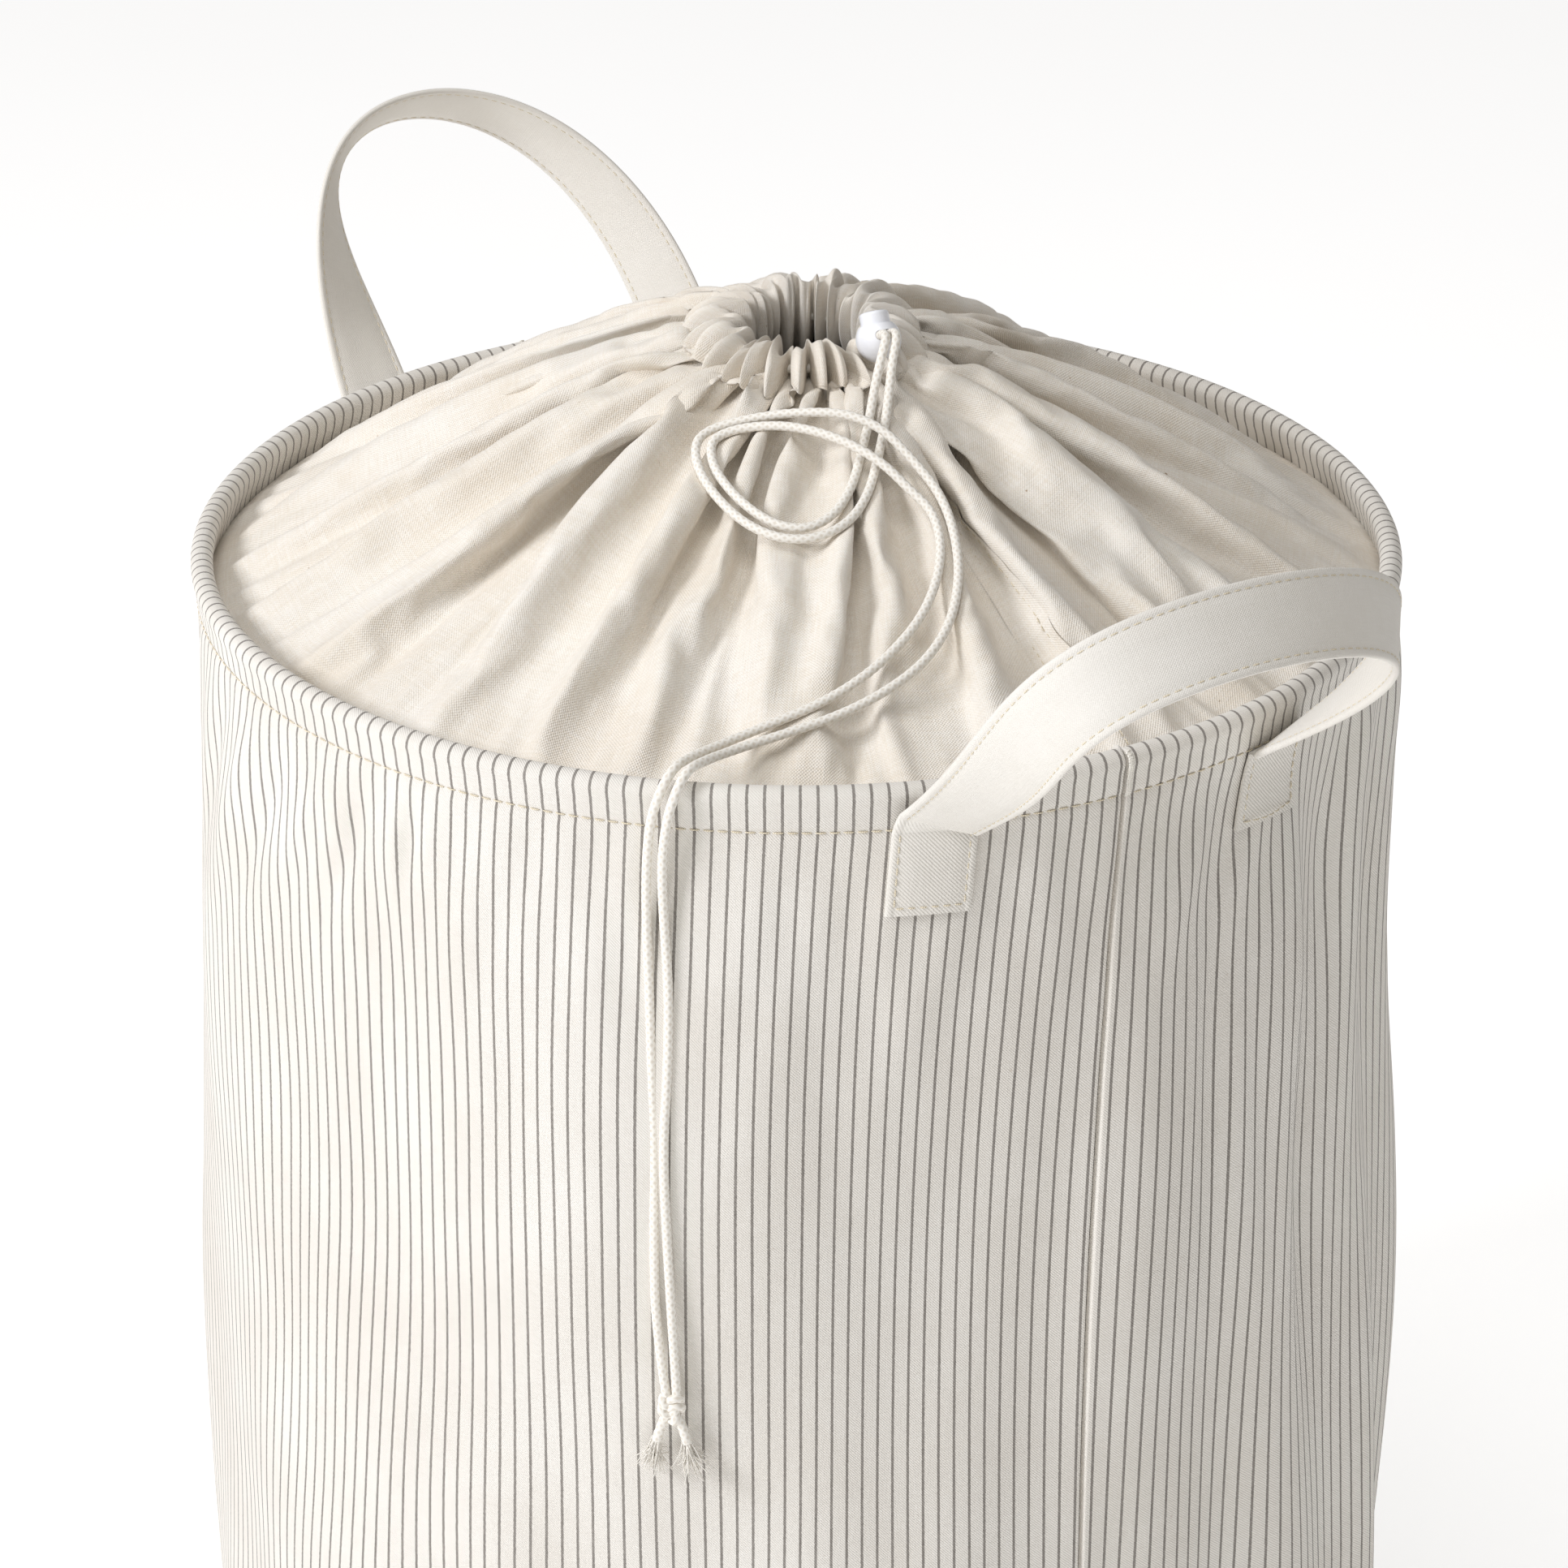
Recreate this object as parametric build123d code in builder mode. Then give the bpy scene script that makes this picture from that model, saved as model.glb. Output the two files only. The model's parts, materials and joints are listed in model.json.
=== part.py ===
from build123d import *

import os
from math import cos, pi, radians, sin, tan

# Round free-standing laundry bag with a gathered drawstring collar, a cord lock and two strap handles.
# Millimetres. The origin is the centre of the underside, +Z is up, and the side seams and handles are on +X and -X.

os.makedirs("parts", exist_ok=True)

# ---------------------------------------------------------------- driving dimensions
bag_height = 550.0
rim_radius = 210.0
base_radius = 211.0
cloth = 1.2  # thickness of every woven panel
hem_depth = 15.0
hem_roll_radius = 3.5
hoop_diameter = 4.0
mouth_radius = 20.0
channel_depth = 11.0  # from the mouth outwards
channel_height = 22.0
channel_top = 630.0
strap_width = 28.0
strap_thickness = 2.4
cord_diameter = 3.2
lock_radius = 7.75
plunger_radius = 5.1
plunger_travel = 1.6
running_gap = 0.1
clear_gap = 0.3

# Outer surface of the soft wall as (radius, height), from the base to the foot of the hem.
wall_stations = [(211.0, cloth), (217.0, 40), (221.5, 120), (220.5, 220), (216.5, 305), (213.0, 425), (208.9, 535)]

# Upper surface of the collar as (radius, height), from the hem to the channel.
collar_stations = [(206.1, 534.4), (160, 557), (120, 577), (80, 596), (45, 611), (31.4, 616)]


def save(piece, name):
    """Labels a finished piece and writes it to its own file."""
    piece.part.label = name
    export_step(piece.part, f"parts/{name}.step")


def inset(stations, distance):
    """The (radius, height) stations moved towards the axis."""
    return [(radius - distance, height) for radius, height in stations]


def lowered(stations, distance):
    """The (radius, height) stations moved down."""
    return [(radius, height - distance) for radius, height in stations]


# ---------------------------------------------------------------- base: panel, stiffening board and seam binding
board_thickness = 2.5
binding_width = 4.0
binding_height = 6.0
base_inner_radius = base_radius - cloth - clear_gap

with BuildPart() as base_panel:
    with BuildSketch():
        Circle(base_radius)
    extrude(amount=cloth)
save(base_panel, "base_panel")

with BuildPart() as base_board:
    with BuildSketch(Plane.XY.offset(cloth)):
        Circle(base_inner_radius - binding_width - clear_gap)
    extrude(amount=board_thickness)
save(base_board, "base_board")

with BuildPart() as base_binding:
    with BuildSketch(Plane.XY.offset(cloth)):
        Circle(base_inner_radius)
        Circle(base_inner_radius - binding_width, mode=Mode.SUBTRACT)
    extrude(amount=binding_height)
save(base_binding, "base_binding")


# ---------------------------------------------------------------- wall panels, side seams and sewn strap ends
def wall_strip(near, far, middle_angle, arc, bottom, top):
    """Sector of a shell that follows the wall, between two distances inside the wall's outer surface."""
    with BuildPart() as strip:
        with BuildSketch(Plane.XZ.rotated((0, 0, middle_angle - arc / 2))):
            with BuildLine():
                outside = Spline(inset(wall_stations, near))
                inside = Spline(inset(wall_stations, far))
                Line(outside @ 0, inside @ 0)
                Line(outside @ 1, inside @ 1)
            make_face()
            with Locations((base_radius, (bottom + top) / 2)):
                Rectangle(base_radius, top - bottom, mode=Mode.INTERSECT)
        revolve(axis=Axis.Z, revolution_arc=arc)
    return strip


wall_top = bag_height - hem_depth
half_turn = 180
save(wall_strip(0, cloth, -90, half_turn, cloth, wall_top), "front_panel")
save(wall_strip(0, cloth, 90, half_turn, cloth, wall_top), "back_panel")

seam_arc = 4.0
seam_thickness = 1.6
seam_inset = cloth + running_gap
seam_bottom = cloth + binding_height + clear_gap
seam_top = wall_top - 6.0
for seam_name, seam_angle in (("front_side_seam", 0), ("back_side_seam", 180)):
    seam = wall_strip(seam_inset, seam_inset + seam_thickness, seam_angle, seam_arc, seam_bottom, seam_top)
    save(seam, seam_name)

handle_half_angle = 18.0
sewn_height = 28.0
sewn_arc = strap_width / (rim_radius * radians(1))
sewn_ends = {
    "front_handle_end_left": -handle_half_angle,
    "front_handle_end_right": handle_half_angle,
    "back_handle_end_left": 180 - handle_half_angle,
    "back_handle_end_right": 180 + handle_half_angle,
}
for end_name, end_angle in sewn_ends.items():
    end = wall_strip(
        -running_gap - strap_thickness, -running_gap, end_angle, sewn_arc, wall_top - sewn_height, wall_top
    )
    save(end, end_name)

# ---------------------------------------------------------------- rim: hem and the hoop inside it
hem_centre = (rim_radius - hem_roll_radius, bag_height - hem_roll_radius)
hem_foot_outer = wall_stations[-1][0]
hem_foot_inner = hem_foot_outer - 2 * cloth

with BuildPart() as rim_hem:
    with BuildSketch(Plane.XZ):
        with BuildLine():
            Line((rim_radius, hem_centre[1]), (hem_foot_outer, wall_top))
            Line((hem_foot_outer, wall_top), (hem_foot_inner, wall_top))
            Line((hem_foot_inner, wall_top), (rim_radius - 2 * hem_roll_radius, hem_centre[1]))
            CenterArc(hem_centre, hem_roll_radius, 0, 180)
        make_face()
        with Locations(hem_centre):
            Circle(hoop_diameter / 2 + running_gap, mode=Mode.SUBTRACT)
    revolve(axis=Axis.Z)
save(rim_hem, "rim_hem")

with BuildPart() as rim_hoop:
    with BuildSketch(Plane.XZ):
        with Locations(hem_centre):
            Circle(hoop_diameter / 2)
    revolve(axis=Axis.Z)
save(rim_hoop, "rim_hoop")

tack_size = (3.0, 13.0)
tack_thickness = 0.6
for tack_name, side in (("front_bar_tack", 1), ("back_bar_tack", -1)):
    with BuildPart() as bar_tack:
        with BuildSketch(Plane.YZ.offset(side * (rim_radius + running_gap))):
            with Locations((0, wall_top + tack_size[1] / 2)):
                Rectangle(*tack_size)
        extrude(amount=side * tack_thickness)
    save(bar_tack, tack_name)

# ---------------------------------------------------------------- cord lock: body, plunger and spring
lock_centre = Vector(33.0, 13.0, 628.0)
bore_heading = radians(-8)
bore_rise = radians(30)
bore_direction = Vector(cos(bore_rise) * cos(bore_heading), cos(bore_rise) * sin(bore_heading), sin(bore_rise))
side_direction = Vector(-sin(bore_heading), cos(bore_heading), 0)
press_direction = bore_direction.cross(side_direction)
lock_plane = Plane(origin=lock_centre, x_dir=bore_direction, z_dir=press_direction)

cord_spacing = 3.5
cord_height = 0.6  # of the cords above the ball's centre
slot_width = cord_spacing + cord_diameter + 4 * running_gap
slot_height = cord_diameter + 2 * running_gap
ball_flat_height = 5.0
chamber_floor = -4.6
plunger_bottom = -2.3
plunger_top = 9.6
window_bottom = cord_height - slot_height / 2
window_height = slot_height + plunger_travel
wire = 0.45
coil_radius = 3.4

with BuildPart() as lock_body:
    with Locations(Location(lock_plane)):
        Sphere(lock_radius)
    with BuildSketch(lock_plane.offset(ball_flat_height)):
        Circle(lock_radius)
    extrude(amount=lock_radius, mode=Mode.SUBTRACT)
    with BuildSketch(lock_plane.offset(chamber_floor)):
        Circle(plunger_radius + running_gap)
    extrude(amount=2 * lock_radius, mode=Mode.SUBTRACT)
    with BuildSketch(Plane(origin=lock_centre, x_dir=side_direction, z_dir=bore_direction)):
        with Locations((0, cord_height)):
            SlotOverall(slot_width, slot_height)
    extrude(amount=2 * lock_radius, both=True, mode=Mode.SUBTRACT)
save(lock_body, "lock_body")

with BuildPart() as lock_plunger:
    with BuildSketch(lock_plane.offset(plunger_bottom)):
        Circle(plunger_radius)
    extrude(amount=plunger_top - plunger_bottom)
    fillet(lock_plunger.edges().sort_by(Axis(lock_centre, press_direction))[-1], radius=1.2)
    with BuildSketch(Plane(origin=lock_centre, x_dir=side_direction, z_dir=bore_direction)):
        with Locations((0, window_bottom + window_height / 2)):
            Rectangle(slot_width, window_height)
    extrude(amount=2 * lock_radius, both=True, mode=Mode.SUBTRACT)
save(lock_plunger, "lock_plunger")

spring_height = plunger_bottom - chamber_floor - wire - 2 * running_gap
spring_base = lock_centre + press_direction * (chamber_floor + wire / 2 + running_gap)
with BuildPart() as lock_spring:
    with BuildLine():
        coil = Helix(spring_height / 2, spring_height, coil_radius, center=spring_base, direction=press_direction)
    with BuildSketch(Plane(origin=coil @ 0, z_dir=coil % 0)):
        Circle(wire / 2)
    sweep(is_frenet=True)
save(lock_spring, "lock_spring")

# ---------------------------------------------------------------- collar and its gathered channel
collar_foot = (collar_stations[0][0], collar_stations[0][1] - cloth)
with BuildPart() as collar:
    with BuildSketch(Plane.XZ):
        with BuildLine():
            upper = Spline(collar_stations)
            under = Spline(lowered(collar_stations, cloth))
            Line(upper @ 0, under @ 0)
            Line(upper @ 1, under @ 1)
        make_face()
    revolve(axis=Axis.Z)
save(collar, "collar")

collar_seam_arc = 5.0
with BuildPart() as collar_seam:
    with BuildSketch(Plane.XZ.rotated((0, 0, -collar_seam_arc / 2))):
        with BuildLine():
            upper = Spline(lowered(collar_stations, cloth + running_gap))
            under = Spline(lowered(collar_stations, 2 * cloth + running_gap))
            Line(upper @ 0, under @ 0)
            Line(upper @ 1, under @ 1)
        make_face()
    revolve(axis=Axis.Z, revolution_arc=collar_seam_arc)
save(collar_seam, "collar_seam")

channel_middle = (mouth_radius + channel_depth / 2, channel_top - channel_height / 2)
cord_ring_radius = channel_middle[0]
tunnel_radius = cord_diameter / 2 + 5 * running_gap
lock_clearance = 1.2
cap_reach = 12.0
exit_slot_depth = 15.0

with BuildPart() as drawcord_channel:
    with BuildSketch(Plane.XZ):
        with Locations(channel_middle):
            RectangleRounded(channel_depth, channel_height, 4.0)
            Circle(tunnel_radius, mode=Mode.SUBTRACT)
    revolve(axis=Axis.Z)
    with Locations(Location(lock_plane)):
        Sphere(lock_radius + lock_clearance, mode=Mode.SUBTRACT)
    with BuildSketch(lock_plane):
        Circle(plunger_radius + lock_clearance)
    extrude(amount=cap_reach, mode=Mode.SUBTRACT)
    with BuildSketch(Plane(origin=lock_centre, x_dir=side_direction, z_dir=-bore_direction)):
        Rectangle(3 * slot_width, 2 * slot_height)
    extrude(amount=exit_slot_depth, mode=Mode.SUBTRACT)
save(drawcord_channel, "drawcord_channel")


# ---------------------------------------------------------------- cords
def corner_radii(points, share=0.45):
    """For each inner point of a route, the largest tangent arc that its two runs allow."""
    vectors = [Vector(*point) for point in points]
    runs = [after - before for before, after in zip(vectors, vectors[1:])]
    radii = []
    for arriving, leaving in zip(runs, runs[1:]):
        half_turn_angle = radians(arriving.get_angle(leaving)) / 2
        radii.append(share * min(arriving.length, leaving.length) / tan(half_turn_angle))
    return radii


def cord_tube(name, points):
    """Round cord of straight runs joined by tangent arcs, with its length and bends printed."""
    radii = corner_radii(points)
    with BuildPart() as tube:
        with BuildLine() as route:
            FilletPolyline(*points, radius=radii)
        path = route.wire()
        with BuildSketch(Plane(origin=path @ 0, z_dir=path % 0)):
            Circle(cord_diameter / 2)
        sweep(path=path)
    expected = pi * (cord_diameter / 2) ** 2 * path.length
    print(name, "length", round(path.length, 1), "volume share", round(tube.part.volume / expected, 4))
    print("  radii", [round(radius, 1) for radius in radii])
    save(tube, name)


def bore_point(along, side):
    """A point of a cord near the lock: along the bore from the ball's centre, and on the left or right of it."""
    middle = lock_centre + press_direction * cord_height + side_direction * (side * cord_spacing / 2)
    return tuple(middle + bore_direction * along)


# The cord inside the channel: out of the lock's face, back through its bore, once around the mouth and out again.
ring_points = 25
ring_start = radians(62)
ring_stop = radians(360 + 2)
ring_height = channel_middle[1]
ring = []
for step in range(ring_points):
    angle = ring_start + (ring_stop - ring_start) * step / (ring_points - 1)
    ring.append((cord_ring_radius * cos(angle), cord_ring_radius * sin(angle), ring_height))
channel_back = -12.5
cord_tube(
    "drawcord_loop",
    [bore_point(lock_radius, 1), bore_point(channel_back, 1), *ring, bore_point(channel_back, -1), bore_point(lock_radius, -1)],
)

# The free ends beyond the lock. Both lie down the collar in one loop, cross over themselves, pass over the rim and
# hang down the wall to the knot. Left and right are as seen from in front of the knot.
left_tail_route = [
    (47.0, 7.6, 634.2),
    (50.3, 3.6, 628.6),
    (53.5, -0.8, 620.0),
    (60.0, -6.8, 611.0),
    (70.0, -15.6, 605.2),
    (81.0, -25.4, 599.8),
    (88.6, -36.2, 595.0),
    (90.2, -46.6, 592.6),
    (85.4, -54.6, 593.0),
    (76.0, -59.4, 595.4),
    (63.0, -61.6, 599.2),
    (50.6, -61.0, 603.2),
    (41.6, -57.2, 607.4),
    (38.4, -50.6, 610.8),
    (41.0, -42.6, 613.6),
    (48.6, -33.6, 615.0),
    (58.2, -25.6, 614.6),
    (68.0, -18.8, 612.6),
    (79.0, -12.6, 608.0),
    (89.0, -9.0, 600.2),
    (100.0, -6.0, 594.0),
    (111.5, -9.5, 588.0),
    (123.5, -18.0, 581.5),
    (134.0, -30.0, 575.0),
    (142.0, -45.0, 569.5),
    (147.0, -62.0, 564.0),
    (148.5, -78.0, 560.0),
    (148.0, -92.0, 557.5),
    (148.0, -105.0, 555.5),
    (150.0, -116.5, 555.0),
    (153.5, -126.5, 555.5),
    (157.5, -134.5, 556.0),
    (160.5, -141.0, 551.0),
    (159.5, -144.5, 540.5),
    (157.5, -145.0, 524.0),
    (157.0, -145.0, 503.0),
    (158.2, -144.8, 480.0),
    (160.0, -145.4, 452.0),
    (161.6, -145.6, 424.0),
    (162.6, -146.8, 388.0),
    (164.0, -147.4, 358.0),
]
right_tail_route = [
    (47.6, 11.4, 634.3),
    (51.4, 7.6, 629.0),
    (55.4, 4.0, 620.6),
    (63.2, -2.2, 611.2),
    (74.2, -11.6, 604.6),
    (86.0, -22.0, 598.4),
    (93.8, -33.6, 593.6),
    (95.0, -46.4, 590.8),
    (89.6, -57.2, 590.8),
    (78.4, -63.8, 593.0),
    (63.6, -66.4, 597.2),
    (48.6, -65.6, 602.2),
    (37.8, -61.0, 607.0),
    (33.6, -53.0, 610.8),
    (35.8, -43.0, 614.0),
    (42.6, -33.0, 616.4),
    (50.6, -23.8, 618.4),
    (59.0, -14.6, 618.8),
    (69.0, -6.6, 615.4),
    (81.0, -2.0, 606.4),
    (95.5, 0.0, 597.0),
    (111.5, -4.0, 588.5),
    (127.0, -12.0, 580.5),
    (141.0, -24.0, 573.0),
    (150.5, -39.0, 567.0),
    (155.0, -56.0, 562.5),
    (155.5, -73.0, 558.5),
    (154.0, -90.0, 556.0),
    (153.0, -104.5, 554.5),
    (154.5, -115.5, 554.5),
    (158.0, -124.5, 555.5),
    (161.5, -132.0, 556.0),
    (164.5, -138.0, 551.0),
    (163.5, -141.0, 540.5),
    (161.0, -141.5, 524.0),
    (160.5, -140.5, 503.0),
    (162.6, -140.2, 480.0),
    (164.2, -141.8, 452.0),
    (165.2, -144.6, 424.0),
    (166.6, -144.0, 388.0),
    (168.2, -143.4, 358.0),
]
knot_centre = Vector(168.6, -144.2, 329.0)
knot_radius = 4.3
knot_heading = radians(49.5)
knot_across = Vector(cos(knot_heading), sin(knot_heading), 0)
knot_entry_rise = 3.9
tail_exit = lock_radius + 3.5
for tail_name, side, route in (("drawcord_tail_left", -1, left_tail_route), ("drawcord_tail_right", 1, right_tail_route)):
    knot_entry = knot_centre + knot_across * (side * cord_spacing / 2) + Vector(0, 0, knot_entry_rise)
    cord_tube(tail_name, [bore_point(lock_radius, side), bore_point(tail_exit, side), *route, tuple(knot_entry)])

with BuildPart() as drawcord_knot:
    with Locations(knot_centre):
        Sphere(knot_radius)
save(drawcord_knot, "drawcord_knot")

# Each cord ends below the knot in a brush of loose yarns.
brush_length = 24.0
brush_foot_radius = 3.4
brush_spread = 0.16
for brush_name, side in (("drawcord_brush_left", -1), ("drawcord_brush_right", 1)):
    brush_direction = Vector(0, 0, -1) + knot_across * (side * brush_spread)
    brush_top = knot_centre + knot_across * (side * cord_spacing / 2) - Vector(0, 0, knot_entry_rise)
    brush_plane = Plane(origin=brush_top, z_dir=brush_direction)
    with BuildPart() as brush:
        with BuildSketch(brush_plane):
            Circle(cord_diameter / 2)
        with BuildSketch(brush_plane.offset(brush_length)):
            Circle(brush_foot_radius)
        loft()
    save(brush, brush_name)

# ---------------------------------------------------------------- strap handles
hinge_radius = 207.0
hinge_height = 537.0
half_chord = rim_radius * sin(radians(handle_half_angle))
section_count = 13
first_turn = 0.055
rise_power = 0.87
foot_twist = 20.0


def strap_point(turn, lean, rise, bulge, skew):
    """Middle of the strap at an angle of turn from 0 at one foot to pi at the other."""
    along = -half_chord * cos(turn) * (1 + bulge * sin(turn) ** 2) + skew * sin(turn)
    height = rise * sin(turn) ** rise_power
    up = Vector(sin(radians(lean)), 0, cos(radians(lean)))
    return Vector(hinge_radius, along, hinge_height) + up * height


def strap_plane(turn, lean, rise, bulge, skew):
    """Section plane of the strap: flat towards the wall at the feet, edge on to the loop's plane at the top."""
    small = 0.01
    middle = strap_point(turn, lean, rise, bulge, skew)
    tangent = strap_point(turn + small, lean, rise, bulge, skew) - strap_point(turn - small, lean, rise, bulge, skew)
    normal = Vector(cos(radians(lean)), 0, -sin(radians(lean)))
    across = tangent.cross(normal).normalized()
    twist = radians(foot_twist + (90 - foot_twist) * sin(turn))
    width_direction = across * cos(twist) + normal * sin(twist)
    return Plane(origin=middle, x_dir=width_direction, z_dir=tangent)


def strap_handle(lean, rise, bulge, skew):
    """Loop of flat strap that leans outward from the wall and twists from its feet to its top."""
    with BuildPart() as loop:
        for index in range(section_count):
            turn = first_turn + (pi - 2 * first_turn) * index / (section_count - 1)
            with BuildSketch(strap_plane(turn, lean, rise, bulge, skew)):
                Rectangle(strap_width, strap_thickness)
        loft()
    return loop


front_handle = strap_handle(lean=48.0, rise=118.0, bulge=0.35, skew=-4.0)
save(front_handle, "front_handle")
back_handle = strap_handle(lean=38.0, rise=112.0, bulge=0.15, skew=12.0)
back_handle.part = back_handle.part.rotate(Axis.Z, half_turn)
save(back_handle, "back_handle")
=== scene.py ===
import json
import math

import bpy
import numpy as np
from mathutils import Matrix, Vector


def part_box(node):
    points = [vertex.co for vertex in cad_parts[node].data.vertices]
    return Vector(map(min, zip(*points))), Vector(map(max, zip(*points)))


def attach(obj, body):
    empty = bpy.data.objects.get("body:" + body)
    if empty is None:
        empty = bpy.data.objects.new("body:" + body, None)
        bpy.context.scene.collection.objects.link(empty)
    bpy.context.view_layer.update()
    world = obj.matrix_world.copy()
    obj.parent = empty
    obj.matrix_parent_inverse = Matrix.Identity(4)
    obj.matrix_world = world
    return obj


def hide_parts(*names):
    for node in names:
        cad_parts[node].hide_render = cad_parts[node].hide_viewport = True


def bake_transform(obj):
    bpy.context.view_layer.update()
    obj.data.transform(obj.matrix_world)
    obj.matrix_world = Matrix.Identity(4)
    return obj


# Laundry bag in its frame, in metres. It stands on the floor at z = 0, with side seams and handles on +X, -X.
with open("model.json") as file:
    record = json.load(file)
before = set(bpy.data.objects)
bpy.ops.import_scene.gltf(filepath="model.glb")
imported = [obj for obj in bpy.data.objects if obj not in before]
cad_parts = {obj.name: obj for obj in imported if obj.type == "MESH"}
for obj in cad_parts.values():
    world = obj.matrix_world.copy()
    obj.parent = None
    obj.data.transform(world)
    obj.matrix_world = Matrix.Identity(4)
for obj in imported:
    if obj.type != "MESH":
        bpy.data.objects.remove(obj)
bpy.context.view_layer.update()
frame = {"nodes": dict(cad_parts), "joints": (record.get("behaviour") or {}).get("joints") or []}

# ------------------------ sizes from the frame
MM = 0.001
hem_low, hem_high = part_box("rim_hem")
rim_radius = hem_high.x
rim_top = hem_high.z
hem_foot = hem_low.z
collar_low, collar_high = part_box("collar")
collar_radius = collar_high.x
channel_low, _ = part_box("drawcord_channel")
hoop_low, hoop_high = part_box("rim_hoop")
hoop_radius = hoop_high.x - (hoop_high.z - hoop_low.z) / 2
hoop_height = (hoop_low.z + hoop_high.z) / 2
joints = {joint["name"]: joint for joint in frame["joints"]}


# ------------------------ camera
camera_azimuth = math.radians(60)
camera_elevation = math.radians(23.1)
camera_distance = 1.7
camera_lens = 111.65
look_below_rim = 100 * MM
look_left = 4.25 * MM
rim_centre = Vector((0, 0, rim_top))
towards_camera = Vector(
    (
        math.sin(camera_azimuth) * math.cos(camera_elevation),
        -math.cos(camera_azimuth) * math.cos(camera_elevation),
        math.sin(camera_elevation),
    )
)
camera_left = Vector((-math.cos(camera_azimuth), -math.sin(camera_azimuth), 0))
camera = bpy.data.objects.new("camera", bpy.data.cameras.new("camera"))
bpy.context.scene.collection.objects.link(camera)
camera.location = rim_centre + towards_camera * camera_distance
look_at = rim_centre - Vector((0, 0, look_below_rim)) + camera_left * look_left
camera.rotation_euler = (look_at - camera.location).to_track_quat("-Z", "Y").to_euler()
camera.data.sensor_width = 36
camera.data.lens = camera_lens
bpy.context.scene.camera = camera


# ------------------------ mesh helpers
def add_object(name, data):
    """A new object in the scene."""
    obj = bpy.data.objects.new(name, data)
    bpy.context.scene.collection.objects.link(obj)
    return obj


def mesh_object(name, points, faces, uvs=None, material=None):
    """A smooth shaded mesh, with one texture coordinate for each corner of each face."""
    mesh = bpy.data.meshes.new(name)
    mesh.from_pydata(np.asarray(points).tolist(), [], faces)
    if uvs is not None:
        layer = mesh.uv_layers.new(name="UVMap")
        layer.data.foreach_set("uv", np.asarray(uvs, np.float32).ravel())
    mesh.polygons.foreach_set("use_smooth", [True] * len(mesh.polygons))
    mesh.update()
    obj = add_object(name, mesh)
    if material:
        mesh.materials.append(material)
    return obj


def grid_faces(rows, columns, closed):
    """Four-sided faces over a grid of points. In a closed grid the last column joins the first."""
    faces = []
    for row in range(rows - 1):
        low, high = row * columns, (row + 1) * columns
        for column in range(columns if closed else columns - 1):
            after = (column + 1) % columns
            faces.append((low + column, low + after, high + after, high + column))
    return faces


def grid_corners(uv):
    """The texture coordinates of a grid, for each corner of each face."""
    quads = np.stack([uv[:-1, :-1], uv[:-1, 1:], uv[1:, 1:], uv[1:, :-1]], axis=2)
    return quads.reshape(-1, 2).tolist()


def grid_object(name, points, uv, material, closed=False):
    """A mesh over a grid of points. uv has one column more where the grid is closed."""
    rows, columns = points.shape[:2]
    faces = grid_faces(rows, columns, closed)
    return mesh_object(name, points.reshape(-1, 3), faces, grid_corners(uv), material)


def unit(vectors):
    """The vectors at length 1."""
    return vectors / np.linalg.norm(vectors, axis=-1, keepdims=True)


def arc_lengths(points):
    """Distance along a line of points, from its start."""
    return np.concatenate([[0], np.cumsum(np.linalg.norm(np.diff(points, axis=0), axis=1))])


def ring_points(turn, radius, height):
    """Points at these angles about the bag's axis, at this distance from it and height."""
    turn, radius, height = np.broadcast_arrays(turn, radius, height)
    return np.stack([radius * np.cos(turn), radius * np.sin(turn), height], axis=-1)


def at_distances(wanted, along, points):
    """Where a line of points, each at its distance along, is at the wanted distances."""
    return np.stack([np.interp(wanted, along, points[:, k]) for k in range(3)], axis=1)


def resampled(points, count):
    """The line of points again, as count points an even distance apart."""
    along = arc_lengths(points)
    return at_distances(np.linspace(0, along[-1], count), along, points)


def carried_frames(points):
    """Two directions across a line that turn as little as they can along it."""
    tangents = unit(np.gradient(points, axis=0))
    first = np.cross(tangents[0], [0.0, 0.0, 1.0])
    if np.linalg.norm(first) < 0.1:
        first = np.cross(tangents[0], [1.0, 0.0, 0.0])
    sides = [first / np.linalg.norm(first)]
    for tangent in tangents[1:]:
        side = sides[-1] - tangent * (sides[-1] @ tangent)
        sides.append(side / np.linalg.norm(side))
    sides = np.array(sides)
    return sides, np.cross(tangents, sides)


def tube_parts(points, radius, sides, relief=None):
    """Points, faces and texture coordinates of a round tube along a line. relief changes its radius."""
    side, up = carried_frames(points)
    along = arc_lengths(points)
    turn = np.linspace(0, 2 * math.pi, sides, endpoint=False)
    if np.isscalar(radius):
        radius = np.full(len(points), radius)
    radii = np.repeat(radius[:, None], sides, 1)
    if relief is not None:
        radii = radii + relief(along[:, None], turn[None, :])
    ring = side[:, None] * np.cos(turn)[None, :, None] + up[:, None] * np.sin(turn)[None, :, None]
    skin = (points[:, None] + ring * radii[..., None]).reshape(-1, 3)
    faces = grid_faces(len(points), sides, closed=True)
    corners = grid_corners(np.stack(np.meshgrid(np.linspace(0, 1, sides + 1), along), axis=2))
    last = (len(points) - 1) * sides
    for cap in (tuple(range(sides))[::-1], tuple(range(last, last + sides))):
        faces.append(cap)
        corners += [(0.5, along[0 if cap[0] < last else -1])] * sides
    return skin, faces, corners


def joined_object(name, parts, material):
    """One mesh of several tubes."""
    points, faces, corners, offset = [], [], [], 0
    for skin, part_faces, part_corners in parts:
        points.append(skin)
        faces += [tuple(index + offset for index in face) for face in part_faces]
        corners += part_corners
        offset += len(skin)
    return mesh_object(name, np.concatenate(points), faces, corners, material)


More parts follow.
